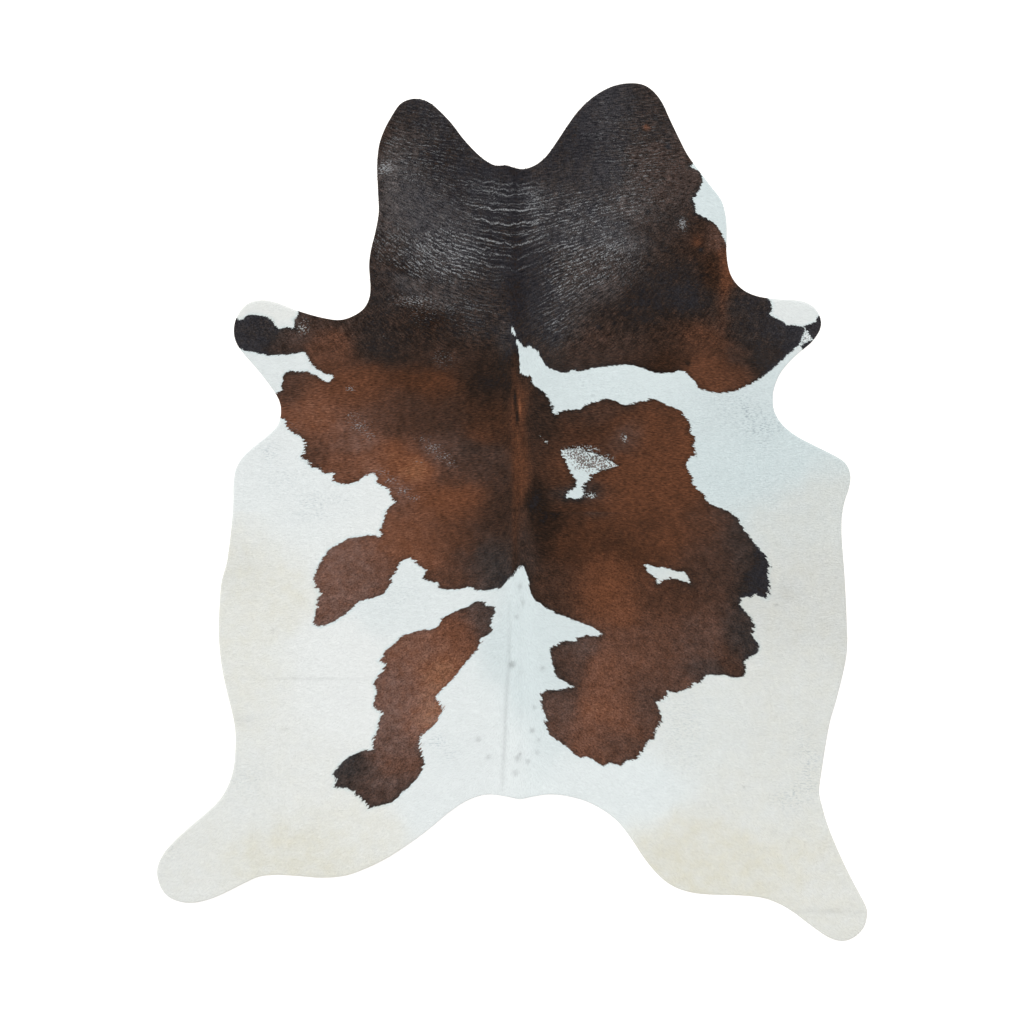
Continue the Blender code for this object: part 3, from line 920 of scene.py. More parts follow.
def hair_way(points):
    """The way the hair lies at each place, a flat unit vector, and its strand.

    The strand is the height at which a hair through the place would have left the spine.
    """
    y, reach, fall = np.array(HAIR_WAY[::-1]).T
    across, up = points[:, 0] - SPINE_X, points[:, 1]
    reach, fall = np.interp(up, y * MM, reach * MM), np.interp(up, y * MM, fall)
    straight = np.exp(-((across / reach) ** 2))
    outwards = np.sign(across) * (1 - straight)
    way = np.column_stack([outwards, -straight - fall * (1 - straight), 0 * up])
    return way / np.linalg.norm(way, axis=1)[:, None], up + fall * np.abs(across)


def crest_climb(across):
    """How much higher up the neck a fold's crest lies at a distance across from the spine."""
    slope = np.where(across < 0, LEFT_SLOPE, RIGHT_SLOPE)
    curve = np.where(across < 0, LEFT_CURVE, RIGHT_CURVE)
    return slope * np.abs(across) + curve * across**2


def wrinkle_rise(points):
    """How far a fine wrinkle that runs through a place has climbed since the spine."""
    y, left, right = np.array(WRINKLE_CLIMB[::-1]).T
    across = points[:, 0] - SPINE_X
    left, right = (np.interp(points[:, 1], y * MM, share) for share in (left, right))
    rise = crest_climb(across) * np.where(across < 0, left, right)
    for wave, reach, seed in WRINKLE_STRAYS:
        rise += reach * MM * soft_noise(points, wave * MM, seed)
    return rise


def fields_at(points, edge):
    """Every field of the coat at each place, by name."""
    placed = wandering(points)
    depth = brown_distance(points)
    marks = soft_spots(points, BROWN_MARKS)
    tone, painted_sheen = mean_tones(placed, BROWN_TONES)
    cold, cream, dull = mean_tones(placed, WHITE_TONES)
    parting = 1 - PARTING_SHARE * fade(np.abs(points[:, 0] - PARTING_X), PARTING_REACH)
    way, strand = hair_way(points)
    return {
        "brown_depth": depth,
        "tone": tone + marks - DARK_RIM * fade(np.abs(depth), DARK_RIM_REACH),
        "painted_sheen": painted_sheen * np.clip(1 + MARK_CLEARING * marks, 0, 1) * parting,
        "painted_glint_lines": soft_spots(placed, PAINTED_GLINT_LINES) * parting,
        "painted_glint_flecks": soft_spots(points, PAINTED_GLINT_FLECKS),
        "cold": np.maximum(cold, COLD_RIM * fade(np.abs(depth), COLD_RIM_REACH)),
        "cream": cream,
        "dull": dull + soft_spots(points, WHITE_MARKS) + tail_line(points),
        "speckle": soft_spots(placed, SPECKLES),
        "roan": np.where(
            depth > 0, soft_spots(points, WHITE_HAIRS),
            np.minimum(soft_spots(points, BROWN_HAIRS), MOST_BROWN_HAIRS),
        ),
        "rise": wrinkle_rise(points),
        "edge_gap": inside_distance(points, edge[::2]),  # every second point is close enough
        "hair_way": way,
        "strand": strand,
    }


def bump(distance, half_width):
    """A smooth rise: 1 at its middle line and 0 from half_width on."""
    return np.cos(np.clip(np.abs(distance) / half_width, 0, 1) * np.pi / 2) ** 2


def taper(distance, length):
    """0 outside an end, 1 a length inside it."""
    return np.clip(distance / length, 0, 1)


def relief(points, fields):
    """How far the coat stands above or below its plain level at a place."""
    x, y = points.T
    across = x - SPINE_X
    height = np.zeros(len(points))
    for up_spine, left, right, rise in FOLDS:
        away = y - up_spine * MM - crest_climb(across)
        ends = taper(np.minimum(across + left * MM, right * MM - across), FOLD_TAPER)
        height += rise * MM * bump(away, FOLD_HALF_WIDTH) * ends
    ends = taper(np.minimum(y - SPINE_FOOT, SPINE_TOP - y), FOLD_TAPER)
    height = np.maximum(height, SPINE_HEIGHT * bump(across, SPINE_HALF_WIDTH) * ends)
    ends = taper(np.minimum(x - CREASE_FROM_X, CREASE_TO_X - x), CREASE_HALF_WIDTH)
    height -= CREASE_DEPTH * bump(y - CREASE_Y, CREASE_HALF_WIDTH) * ends
    level = np.column_stack([x / WRINKLE_STRETCH, y - fields["rise"]])
    wrinkles = soft_noise(level, WRINKLE_WIDTH, WRINKLE_SEED)
    wrinkles *= np.clip(fields["painted_glint_lines"], 0, 1)
    waves = COAT_WAVE_SHARE * soft_noise(points, COAT_WAVE, COAT_WAVE_SEED)
    return height + WRINKLE_HEIGHT * (wrinkles + waves)


def upper_height(points, fields, leather):
    """The height of the undercoat over the floor, rounded off towards the cut edge."""
    inset, share = np.array([(0.0, 0.0), *COAT_RIM]).T
    full = np.interp(fields["edge_gap"], inset * MM, share)
    return leather.thickness + full * (leather.undercoat + relief(points, fields))


def add_numbers(mesh, name, values):
    """Holds one number, or one vector, for each vertex on the mesh."""
    values = np.asarray(values, dtype=np.float32)
    if values.ndim == 1:
        mesh.attributes.new(name, "FLOAT", "POINT").data.foreach_set("value", values)
    else:
        mesh.attributes.new(name, "FLOAT_VECTOR", "POINT").data.foreach_set(
            "vector", values.ravel()
        )


# ---------------------------------------------------------------------------------------------
# Node trees


class Socket:
    """A node's output that Python's operators work on, each adding a Math node."""

    def __init__(self, graph, link):
        self.graph, self.link = graph, link

    def maths(self, operation, *values):
        return self.graph.node(
            self.graph.maths, {"operation": operation}, dict(enumerate(values or [self]))
        )

    def __add__(self, other):
        return self.maths("ADD", self, other)

    __radd__ = __add__

    def __sub__(self, other):
        return self.maths("SUBTRACT", self, other)

    def __rsub__(self, other):
        return self.maths("SUBTRACT", other, self)

    def __mul__(self, other):
        return self.maths("MULTIPLY", self, other)

    __rmul__ = __mul__

    def __lt__(self, other):
        return self.maths("LESS_THAN", self, other)

    def __gt__(self, other):
        return self.maths("GREATER_THAN", self, other)

    def __abs__(self):
        return self.maths("ABSOLUTE", self)


class Graph:
    """A node tree, with one method that adds any node and short ones for those used most."""

    maths = "ShaderNodeMath"

    def __init__(self, tree):
        self.tree = tree

    def put(self, target, value):
        if isinstance(value, Socket):
            self.tree.links.new(value.link, target)
        else:
            target.default_value = value

    def node(self, kind, settings=(), inputs=(), output=0):
        """Adds a node with its settings, then its sockets' values or links."""
        node = self.tree.nodes.new(kind)
        for name, value in dict(settings).items():
            setattr(node, name, value)
        for name, value in dict(inputs).items():
            self.put(node.inputs[name], value)
        if output is None:
            return node
        return Socket(self, node.outputs[output])

    def ramp(self, factor, stops):
        """A colour ramp with stops of place and colour."""
        node = self.node("ShaderNodeValToRGB", output=None)
        ramp = node.color_ramp
        while len(ramp.elements) < len(stops):
            ramp.elements.new(1.0)
        for element, (place, shade) in zip(ramp.elements, stops):
            element.position = place
            element.color = rgba(shade)
        self.put(node.inputs[0], factor)
        return Socket(self, node.outputs[0])

    def smooth(self, value, low, high):
        """0 below low, 1 above high, and a smooth step between."""
        return self.node(
            "ShaderNodeMapRange",
            {"interpolation_type": "SMOOTHSTEP"},
            {"Value": value, "From Min": low, "From Max": high},
        )

    def blend(self, factor, first, second):
        """A mix of two colours."""
        node = self.node("ShaderNodeMix", {"data_type": "RGBA"}, output=None)
        for number, value in ((0, factor), (6, first), (7, second)):
            self.put(node.inputs[number], value)
        return Socket(self, node.outputs[2])

    def scaled(self, shade, value):
        """A colour made lighter or darker."""
        return self.node(
            "ShaderNodeVectorMath", {"operation": "SCALE"}, {0: shade, "Scale": value}
        )

    def clamped(self, operation, first, second):
        """What a Math node makes of two numbers, held between 0 and 1."""
        return self.node(
            self.maths, {"operation": operation, "use_clamp": True}, {0: first, 1: second}
        )

    def split(self, vector):
        """The three numbers of a vector."""
        node = self.node("ShaderNodeSeparateXYZ", {}, {0: vector}, output=None)
        return [Socket(self, output) for output in node.outputs]

    def join(self, x, y, z=0.0):
        """A vector of three numbers."""
        return self.node("ShaderNodeCombineXYZ", {}, {0: x, 1: y, 2: z})

    def noise(self, vector, scale=1.0, detail=2.0):
        """Noise about 0, mostly within 0.25 of it."""
        return self.node(
            "ShaderNodeTexNoise", {}, {"Vector": vector, "Scale": scale, "Detail": detail}
        ) - 0.5

    def drawn_noise(self, x, y, waves, detail=2.0):
        """Noise that is drawn out, with its own number of waves each way."""
        return self.noise(self.join(x * waves[0], y * waves[1]), detail=detail)

    def held(self, name):
        """A number held on the mesh under that name."""
        return self.node("ShaderNodeAttribute", {"attribute_name": name}, output="Fac")


def new_material(name):
    """A material with one shader, and its graph and shader node."""
    material = bpy.data.materials.new(name)
    material.use_nodes = True
    shader = material.node_tree.nodes["Principled BSDF"]
    return material, Graph(material.node_tree), shader


def rgba(shade):
    return (*shade, 1.0)


# ---------------------------------------------------------------------------------------------
# The finish of the hair and of the suede

# Noise in the colours, in waves for each metre: the same each way, or across and along. Below,
# a step is the two values between which a noise goes from nothing to full.
CLOUDS, MOTTLE, GRAIN, DOTS, ROAN_NET = 7.0, 45.0, 280.0, 360.0, 270.0
RIPPLES, STRANDS, STREAKS = (60.0, 300.0), (90.0, 360.0), (95.0, 340.0)
LONG_DASHES, DASHES, DASH_SLANT = (40.0, 240.0), (115.0, 330.0), (37.0, 90.0)
DASH_SHIFTS, CROSSING_STRAYS = (30.0, 140.0), (48.0, 40.0)
BUNDLES, FLECKS, SPECKS = (14.0, 65.0), (170.0, 360.0), (110.0, 300.0)
COARSE_DETAIL, RICH_DETAIL, SUEDE_DETAIL = 1.0, 3.0, 4.0

# Up the hide, streaks along the hair come in between the one pair of places, and between the
# other the wrinkles of the neck take over from them. The streaks are partly the hair's grain and
# partly its sheen in streaks, painted in.
STREAKS_FROM, STREAKS_TO = -250 * MM, 100 * MM
NECK_FROM, NECK_TO = 320 * MM, 460 * MM

# Brown hair: its colours along the tone, and how much each noise changes it and the sheen painted
# over it.
TONE_PLACES = {"coal": 0.0, "black": 0.15, "umber": 0.32, "brown": 0.48, "rust": 0.80, "tan": 1.0}
RIPPLE_SHARE, STRAND_SHARE = 1.6, 0.6
TONE_BY = {"lock": 0.16, "mottle": 0.28, "clouds": 0.30, "ripple": 0.30}
PAINTED_SHEEN_BY = {"mottle": 2.0, "dots": 2.2, "ripple": 2.0}
BROWN_LIGHT, LIGHT_BY = 1.06, {"grain": 2.2, "ripple": 1.4}

# Painted glints: highlights painted into the colour of brown hair. The crests of the fine
# wrinkles bend, and break up into dashes in bundles.
BENDS = (
    # turn in radians, waves across and along
    (16.0, (12.0, 26.0)),
    (5.0, (50.0, 60.0)),
)
NEAR_CREST = {"wave": 0.7, "dash": 2.6, "dots": 3.0, "from": 0.35, "to": 1.5}
FAR_CREST = {"wave": 0.4, "dash": 4.4, "dots": 2.6, "from": 0.15, "to": 1.5}
DASH_SHIFT = 5.0  # waves that a dash is moved by, so that no two line up
BUNDLE_STEP, BUNDLE_LEAST, BUNDLE_MORE = (-0.14, 0.16), 0.6, 1.3
CROSSING_CORE = 0.3  # of its reach, over which a crossing is full
CROSSING_STRAY = 18 * MM
CROSSING_STEP, CROSSING_DOTS = (-0.20, 0.12), 1.4
PARTING_LEAST, PARTING_MORE = 0.5, 0.7  # strength of a crossing on the parting, and added aside
FLECK_STEP, FLECK_GAIN = (0.11, 0.28), 0.12
PAINTED_GLINT_SHARE = 0.85

# White hair.
CREAM_MOTTLE, CREAM_UNEVEN = 30.0, 1.5
SPECK_STEP, SPECK_SHARE = (0.0, 0.14), 0.5
DULL_SHARE = 0.2
WHITE_UNEVEN = (
    # waves, change of light
    (420.0, 0.05),
    (60.0, 0.06),
)

# Hairs of the other colour, in a net that closes up as their share rises.
ROAN_SPREAD, ROAN_STEP, ROAN_SHARES, ROAN_MOST = 0.26, (-0.05, 0.07), (0.03, 0.30), 0.85

# A lock: how its colour turns along it, darker at the root with painted shade from the locks
# over it, its strands, and its light.
LOCK_BLUR = 0.3 * MM
LOCK_STRANDS, LOCK_SHIFT = (3.0, 0.8), 60.0  # waves in a lock, and between one lock and the next
LOCK_LIGHT, LOCK_BY = 0.95, {"tip": 0.08, "strands": 0.20, "lock": 0.04}

UNDERCOAT_BLUR, UNDERCOAT_LIGHT = 0.5 * MM, 0.92
UNDERCOAT_RAGGED, UNDERCOAT_RAGS = 12 * MM, 160.0  # reach and waves of a patch's ragged edge

SUEDE_CLOUDS, SUEDE_LIGHT, SUEDE_BY = 9.0, 0.96, {"clouds": 0.20, "nap": 0.16}
NAP, NAP_HEIGHT, NAP_STRENGTH = 900.0, 0.4 * MM, 0.5


def crossing_stops():
    """Stops of a ramp up the neck that paints a bright glint at each crossing."""
    length = CROSSING_TO - CROSSING_FROM
    half = CROSSING_WIDTH / 2 / length
    stops = []
    for y, strength in CROSSINGS:
        place = (y * MM - CROSSING_FROM) / length
        stops += [(place - half, (0, 0, 0)), (place, (strength,) * 3), (place + half, (0, 0, 0))]
    return stops


def painted_glints(graph, x, y, up, dots):
    """How strong the painted glints are along wrinkles, where they cross the spine and in flecks,
    from 0 to 1.
    """
    lines, flecks = graph.held("painted_glint_lines"), graph.held("painted_glint_flecks")
    beside = graph.smooth(
        abs(x - CROSSING_X), CROSSING_REACH, CROSSING_CORE * CROSSING_REACH
    )
    bend = sum(turn * graph.drawn_noise(x, up, waves) for turn, waves in BENDS)
    wave = (up * (2 * np.pi / WRINKLE_STEP) + bend).maths("SINE")

    def crest(dashes, by):
        height = by["wave"] * wave + by["dash"] * dashes + by["dots"] * dots
        return graph.smooth(height, by["from"], by["to"])

    near = crest(graph.drawn_noise(x, up, LONG_DASHES), NEAR_CREST)
    shift = DASH_SHIFT * graph.drawn_noise(x, up, DASH_SHIFTS)
    dash = graph.noise(graph.join(
        x * DASHES[0] + shift, up * DASHES[1], x * DASH_SLANT[0] + up * DASH_SLANT[1]
    ))
    far = crest(dash, FAR_CREST)
    bundle = graph.smooth(graph.drawn_noise(x, up, BUNDLES), *BUNDLE_STEP)
    line = (far + beside * (near - far)) * lines * (BUNDLE_LEAST + BUNDLE_MORE * bundle)

    strayed = up + CROSSING_STRAY * graph.drawn_noise(x, y, CROSSING_STRAYS)
    crossing = graph.ramp(
        (strayed - CROSSING_FROM) * (1.0 / (CROSSING_TO - CROSSING_FROM)), crossing_stops()
    )
    aside = graph.smooth(abs(x - PARTING_X), 0.0, PARTING_REACH)
    crossing = crossing * beside * (PARTING_LEAST + PARTING_MORE * aside)
    line = line + crossing * graph.smooth(CROSSING_DOTS * dots + dash, *CROSSING_STEP)

    fleck = graph.drawn_noise(x, y, FLECKS, COARSE_DETAIL)
    fleck = graph.smooth(fleck, *(edge - FLECK_GAIN * flecks for edge in FLECK_STEP)) * flecks
    return graph.clamped("MAXIMUM", line, fleck)


def brown_colour(graph, coat, random):
    """Brown hair: its tone, the pale sheen painted over it, its grain, and the painted glints."""
    place = graph.node("ShaderNodeTexCoord", output="Object")
    x, y, _ = graph.split(place)
    up = y - graph.held("rise")
    in_neck = graph.smooth(y, NECK_FROM, NECK_TO)
    mottle = graph.noise(place, MOTTLE, RICH_DETAIL)
    clouds = graph.noise(place, CLOUDS, RICH_DETAIL)
    dots = graph.noise(place, DOTS, COARSE_DETAIL)
    ripple = RIPPLE_SHARE * graph.drawn_noise(x, up, RIPPLES) * in_neck
    strand = graph.drawn_noise(x, graph.held("strand"), STRANDS)
    ripple = ripple + STRAND_SHARE * strand * (1.0 - in_neck)

    tone = graph.held("tone") + TONE_BY["lock"] * (random - 0.5) + TONE_BY["mottle"] * mottle
    tone = tone + TONE_BY["clouds"] * clouds + TONE_BY["ripple"] * ripple
    shade = graph.ramp(tone, [(at, getattr(coat, name)) for name, at in TONE_PLACES.items()])
    wrinkled = PAINTED_SHEEN_BY["dots"] * dots + PAINTED_SHEEN_BY["ripple"] * ripple
    # The sheen of light on the hair, painted over its colour, more uneven in the neck.
    painted_sheen = graph.held("painted_sheen") * (1.0 + PAINTED_SHEEN_BY["mottle"] * mottle + wrinkled * in_neck)
    shade = graph.blend(painted_sheen, shade, rgba(coat.sheen_paint))

    grain = graph.noise(place, GRAIN)
    # Streaky grain, which also carries the sheen in streaks, painted in.
    streaks = graph.drawn_noise(x, y, STREAKS) - grain
    grain = grain + streaks * graph.smooth(y, STREAKS_FROM, STREAKS_TO) * (1.0 - in_neck)
    light = BROWN_LIGHT + LIGHT_BY["grain"] * grain + LIGHT_BY["ripple"] * ripple
    # Glints of light, painted over the brown.
    glint_paint = PAINTED_GLINT_SHARE * painted_glints(graph, x, y, up, dots)
    return graph.blend(glint_paint, graph.scaled(shade, light), rgba(coat.glint_paint))


def white_colour(graph, coat):
    """White hair: cold, creamy or dull, with the skin's specks through it."""
    place = graph.node("ShaderNodeTexCoord", output="Object")
    x, y, _ = graph.split(place)
    uneven = 1.0 + CREAM_UNEVEN * graph.noise(place, CREAM_MOTTLE, RICH_DETAIL)
    specks = graph.smooth(graph.drawn_noise(x, y, SPECKS), *SPECK_STEP) * graph.held("speckle")
    shade = graph.blend(graph.held("cold"), rgba(coat.white), rgba(coat.cold))
    shade = graph.blend(graph.held("cream") * uneven, shade, rgba(coat.cream))
    shade = graph.blend(SPECK_SHARE * specks, shade, rgba(coat.skin))
    light = 1.0 - DULL_SHARE * graph.held("dull")
    for waves, change in WHITE_UNEVEN:
        light = light + change * graph.noise(place, waves)
    return graph.scaled(shade, light)


def mixed_hairs(graph, is_brown):
    """How brown a place is with the white hairs among the brown, or the brown among white."""
    place = graph.node("ShaderNodeTexCoord", output="Object")
    share = graph.held("roan")
    net = graph.noise(place, ROAN_NET) + ROAN_SPREAD * share - ROAN_SPREAD / 2
    other = ROAN_MOST * graph.smooth(net, *ROAN_STEP) * graph.smooth(share, *ROAN_SHARES)
    return is_brown + other * (1.0 - 2.0 * is_brown)


def hair_material(coat):
    """Lying hair in locks, each brown or white, lighter at its tip, with painted shade at its
    root, in strands along it.
    """
    material, graph, shader = new_material("lying_hair")
    random, along, side = (graph.held(name) for name in ("lock_random", "along", "side"))
    root, tip = graph.held("root_depth"), graph.held("tip_depth")
    is_brown = graph.smooth(root + (tip - root) * along, -LOCK_BLUR, LOCK_BLUR)
    is_brown = mixed_hairs(graph, is_brown)
    shade = graph.blend(is_brown, white_colour(graph, coat), brown_colour(graph, coat, random))
    strands = graph.noise(
        graph.join(side * LOCK_STRANDS[0] + LOCK_SHIFT * random, along * LOCK_STRANDS[1])
    )
    light = LOCK_LIGHT + LOCK_BY["tip"] * along + LOCK_BY["strands"] * strands
    light = light + LOCK_BY["lock"] * (random - 0.5)
    graph.put(shader.inputs["Base Color"], graph.scaled(shade, light))
    shader.inputs["Roughness"].default_value = 0.55
    shader.inputs["Specular IOR Level"].default_value = 0.05
    return material


def undercoat_material(coat):
    """The dense hair under the locks, in the same colours and a little darker."""
    material, graph, shader = new_material("undercoat")
    place = graph.node("ShaderNodeTexCoord", output="Object")
    depth = graph.held("brown_depth") + UNDERCOAT_RAGGED * graph.noise(place, UNDERCOAT_RAGS)
    is_brown = mixed_hairs(graph, graph.smooth(depth, -UNDERCOAT_BLUR, UNDERCOAT_BLUR))
    shade = graph.blend(is_brown, white_colour(graph, coat), brown_colour(graph, coat, 0.5))
    graph.put(shader.inputs["Base Color"], graph.scaled(shade, UNDERCOAT_LIGHT))
    shader.inputs["Roughness"].default_value = 0.7
    shader.inputs["Specular IOR Level"].default_value = 0.05
    return material


def suede_material(leather):
    """The flesh side and the cut edge: matte suede with a fine nap."""
    material, graph, shader = new_material("suede")
    place = graph.node("ShaderNodeTexCoord", output="Object")
    nap = graph.noise(place, NAP)
    clouds = graph.noise(place, SUEDE_CLOUDS, SUEDE_DETAIL)
    light = SUEDE_LIGHT + SUEDE_BY["clouds"] * clouds + SUEDE_BY["nap"] * nap
    graph.put(shader.inputs["Base Color"], graph.scaled(tuple(leather.suede), light))
    raised = graph.node(
        "ShaderNodeBump", {}, {"Height": nap, "Distance": NAP_HEIGHT, "Strength": NAP_STRENGTH}
    )
    graph.put(shader.inputs["Normal"], raised)
    shader.inputs["Roughness"].default_value = 0.9
    return material


# ---------------------------------------------------------------------------------------------
# The ground: a fine grid with the fields, for the locks and for the leather's upper face

GROUND_INSET = 0.5 * MM
NECK_FOOT = 380 * MM  # the wrinkled neck lies above this
PLAIN_COLUMNS, PLAIN_ROWS, NECK_ROWS = 2, 3, 1  # ground steps between the leather's points
FINE_BAND = 3.5 * MM  # beside the edge of a patch, where the leather has every point


def make_ground(leather, edge):
    """The ground's mesh, and those of its points that the leather's upper face has too."""
    low, high = edge.min(axis=0), edge.max(axis=0)
    columns, rows = (np.arange(low[a], high[a], leather.ground_step) for a in (0, 1))
    x, y = np.meshgrid(columns, rows)
    points = np.column_stack([x.ravel(), y.ravel()])
    inside = inside_distance(points, edge) > GROUND_INSET
    number = np.where(inside, np.cumsum(inside) - 1, -1).reshape(x.shape)
    corners = [number[:-1, :-1], number[:-1, 1:], number[1:, 1:], number[1:, :-1]]
    cells = np.stack(corners, axis=-1).reshape(-1, 4)
    cells = cells[(cells >= 0).all(axis=1)]

    row, column = (np.broadcast_to(n, x.shape).ravel()[inside] for n in (
        np.arange(len(rows))[:, None], np.arange(len(columns))))
    points = points[inside]
    fields = fields_at(points, edge)
    heights = upper_height(points, fields, leather)
    mesh = bpy.data.meshes.new("ground")
    mesh.from_pydata(np.column_stack([points, heights]).tolist(), [], cells.tolist())
    for name, values in fields.items():
        add_numbers(mesh, name, values)

    every = np.where(points[:, 1] > NECK_FOOT, NECK_ROWS, PLAIN_ROWS)
    chosen = (column % PLAIN_COLUMNS == 0) & (row % every == 0)
    chosen |= np.abs(fields["brown_depth"]) < FINE_BAND
    inset = COAT_RIM[-1][0] * MM + PLAIN_COLUMNS * leather.ground_step / 2
    return mesh, points[chosen & (fields["edge_gap"] > inset)]


# ---------------------------------------------------------------------------------------------
# The leather with its undercoat

HAIR_SLOT, SUEDE_SLOT = 0, 1
UNDER_STEP = 72 * MM  # between two points of the plain underside
SHARP_ANGLE = np.radians(60)  # edges past it are not shaded smooth


def leather_mesh(leather, edge, upper):
    """The closed sheet: underside, cut edge, rounded rim of undercoat and upper face."""
    insets = [0.0, 0.0] + [inset * MM for inset, _ in COAT_RIM]
    rings = [inset_loop(edge, inset) for inset in insets]
    count = len(edge)
    here = np.arange(count)
    following = np.roll(here, -1)
    faces = []
    for low in range(0, (len(rings) - 1) * count, count):
        high = low + count
        quads = np.column_stack([low + following, low + here, high + here, high + following])
        faces += quads.tolist()

    rim = rings[-1]
    _, triangles = fill(rim, upper)
    base = (len(rings) - 1) * count
    faces += [[corner + base for corner in face] for face in triangles]

    low, high = edge.min(axis=0), edge.max(axis=0)
    x, y = np.meshgrid(*(np.arange(low[a], high[a], UNDER_STEP) for a in (0, 1)))
    under = np.column_stack([x.ravel(), y.ravel()])
    under = under[inside_distance(under, edge) > UNDER_STEP / 2]
    _, triangles = fill(edge, under)
    extra = base + len(upper)
    first_under = len(faces)
    faces += [[corner if corner < count else corner + extra for corner in reversed(face)]
              for face in triangles]

    points = np.vstack([*rings, upper, under])
    fields = fields_at(points, edge)
    heights = upper_height(points, fields, leather)
    heights[:count] = 0
    heights[count:2 * count] = leather.thickness
    heights[len(points) - len(under):] = 0
    mesh = bpy.data.meshes.new("hide_leather")
    mesh.from_pydata(np.column_stack([points, heights]).tolist(), [], faces)
    slots = np.full(len(faces), HAIR_SLOT, dtype=np.int32)
    slots[:count] = SUEDE_SLOT
    slots[first_under:] = SUEDE_SLOT
    mesh.polygons.foreach_set("material_index", slots)
    for name, values in fields.items():
        add_numbers(mesh, name, values)
    return mesh


def link(name, data):
    """A new object with that mesh, lamp or camera, in the scene."""
    obj = bpy.data.objects.new(name, data)
    bpy.context.scene.collection.objects.link(obj)
    return obj


class OBJECT_OT_hide_leather(bpy.types.Operator):
    """Make the leather of the hide with the undercoat on its upper face"""

    bl_idname = "cowhide.leather"
    bl_label = "Leather and undercoat"

    def execute(self, context):
        leather, coat = context.scene.cowhide_leather, context.scene.cowhide_coat
        edge = cut_edge(leather.rim_step)
        ground, upper = make_ground(leather, edge)
        link("ground", ground)
        mesh = leather_mesh(leather, edge, upper)
        mesh.materials.append(undercoat_material(coat))
        mesh.materials.append(suede_material(leather))
        mesh.shade_smooth()
        mesh.set_sharp_from_angle(angle=SHARP_ANGLE)
        hide = link("hide_leather", mesh)
        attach(hide, "root")
        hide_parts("hide")
        return {"FINISHED"}


# ---------------------------------------------------------------------------------------------
# The coat

STRIPS = ("left_flank", "left_back", "right_back", "right_flank")
BAKE_MAP = "OFBake"  # the name of the strips' own UV map, seen from above

TOOTH_ACROSS, TOOTH_ALONG = 110.0, 26.0  # clumps at a patch's edge, for each metre
TOOTH_POINT = 5.0  # how fast a clump narrows to its point
TOOTH_FROM, TOOTH_TO = -10 * MM, 2 * MM  # how far down the hair they carry a patch's colour
SHOULDERS = 300 * MM  # above this the teeth are shorter
SHORT_FROM, SHORT_TO = -4 * MM, 1 * MM
TOOTH_SLIP = 1 * MM  # by which each lock carries it further or less far
RAGGED, RAGS = 8 * MM, 110.0  # reach and waves of the raggedness under the teeth
ROOT_SHARE, TIP_SHARE = 1.0, 0.35  # how far each half of a lock shows the colour under it

STRAY = 0.14  # radians by which locks stand and turn out of the way the hair lies
STANDING, ROLLING, TURNING = (-0.2, 0.5), (-1.0, 1.0), (-1.0, 1.0)  # in shares of it
SWIRLS = (
    # turn in radians, waves for each metre
    (1.4, 100.0),
    (1.1, 12.0),
)
WIDTHS, LENGTHS = (0.7, 1.3), (0.75, 1.2)  # of single locks, as a share
SHORT_RIM, SHORT_LENGTH = 12 * MM, 0.45  # beside the cut edge the locks are shorter

LOCK_SHAPE = (
    # share of width, share of length, height mm, along it, side
    (0.0, -0.55, -0.50, 0.0, 0.0),
    (0.5, -0.10, 0.15, 0.5, 1.0),
    (0.0, 0.45, 1.10, 1.0, 0.0),
    (-0.5, -0.10, 0.15, 0.5, -1.0),
)
LOCK_FACES = ((0, 1, 2), (0, 2, 3))


def lock_object(coat):
    """One lock: a low roof from a sunk root to a raised tip, its middle at the origin."""
    x, y, z, along, side = np.array(LOCK_SHAPE).T
    mesh = bpy.data.meshes.new("lock")
    places = np.column_stack([x * coat.width, y * coat.length, z * MM])
    mesh.from_pydata(places.tolist(), [], LOCK_FACES)
    add_numbers(mesh, "along", along)
    add_numbers(mesh, "side", side)
    mesh.shade_smooth()
    return link("lock", mesh)


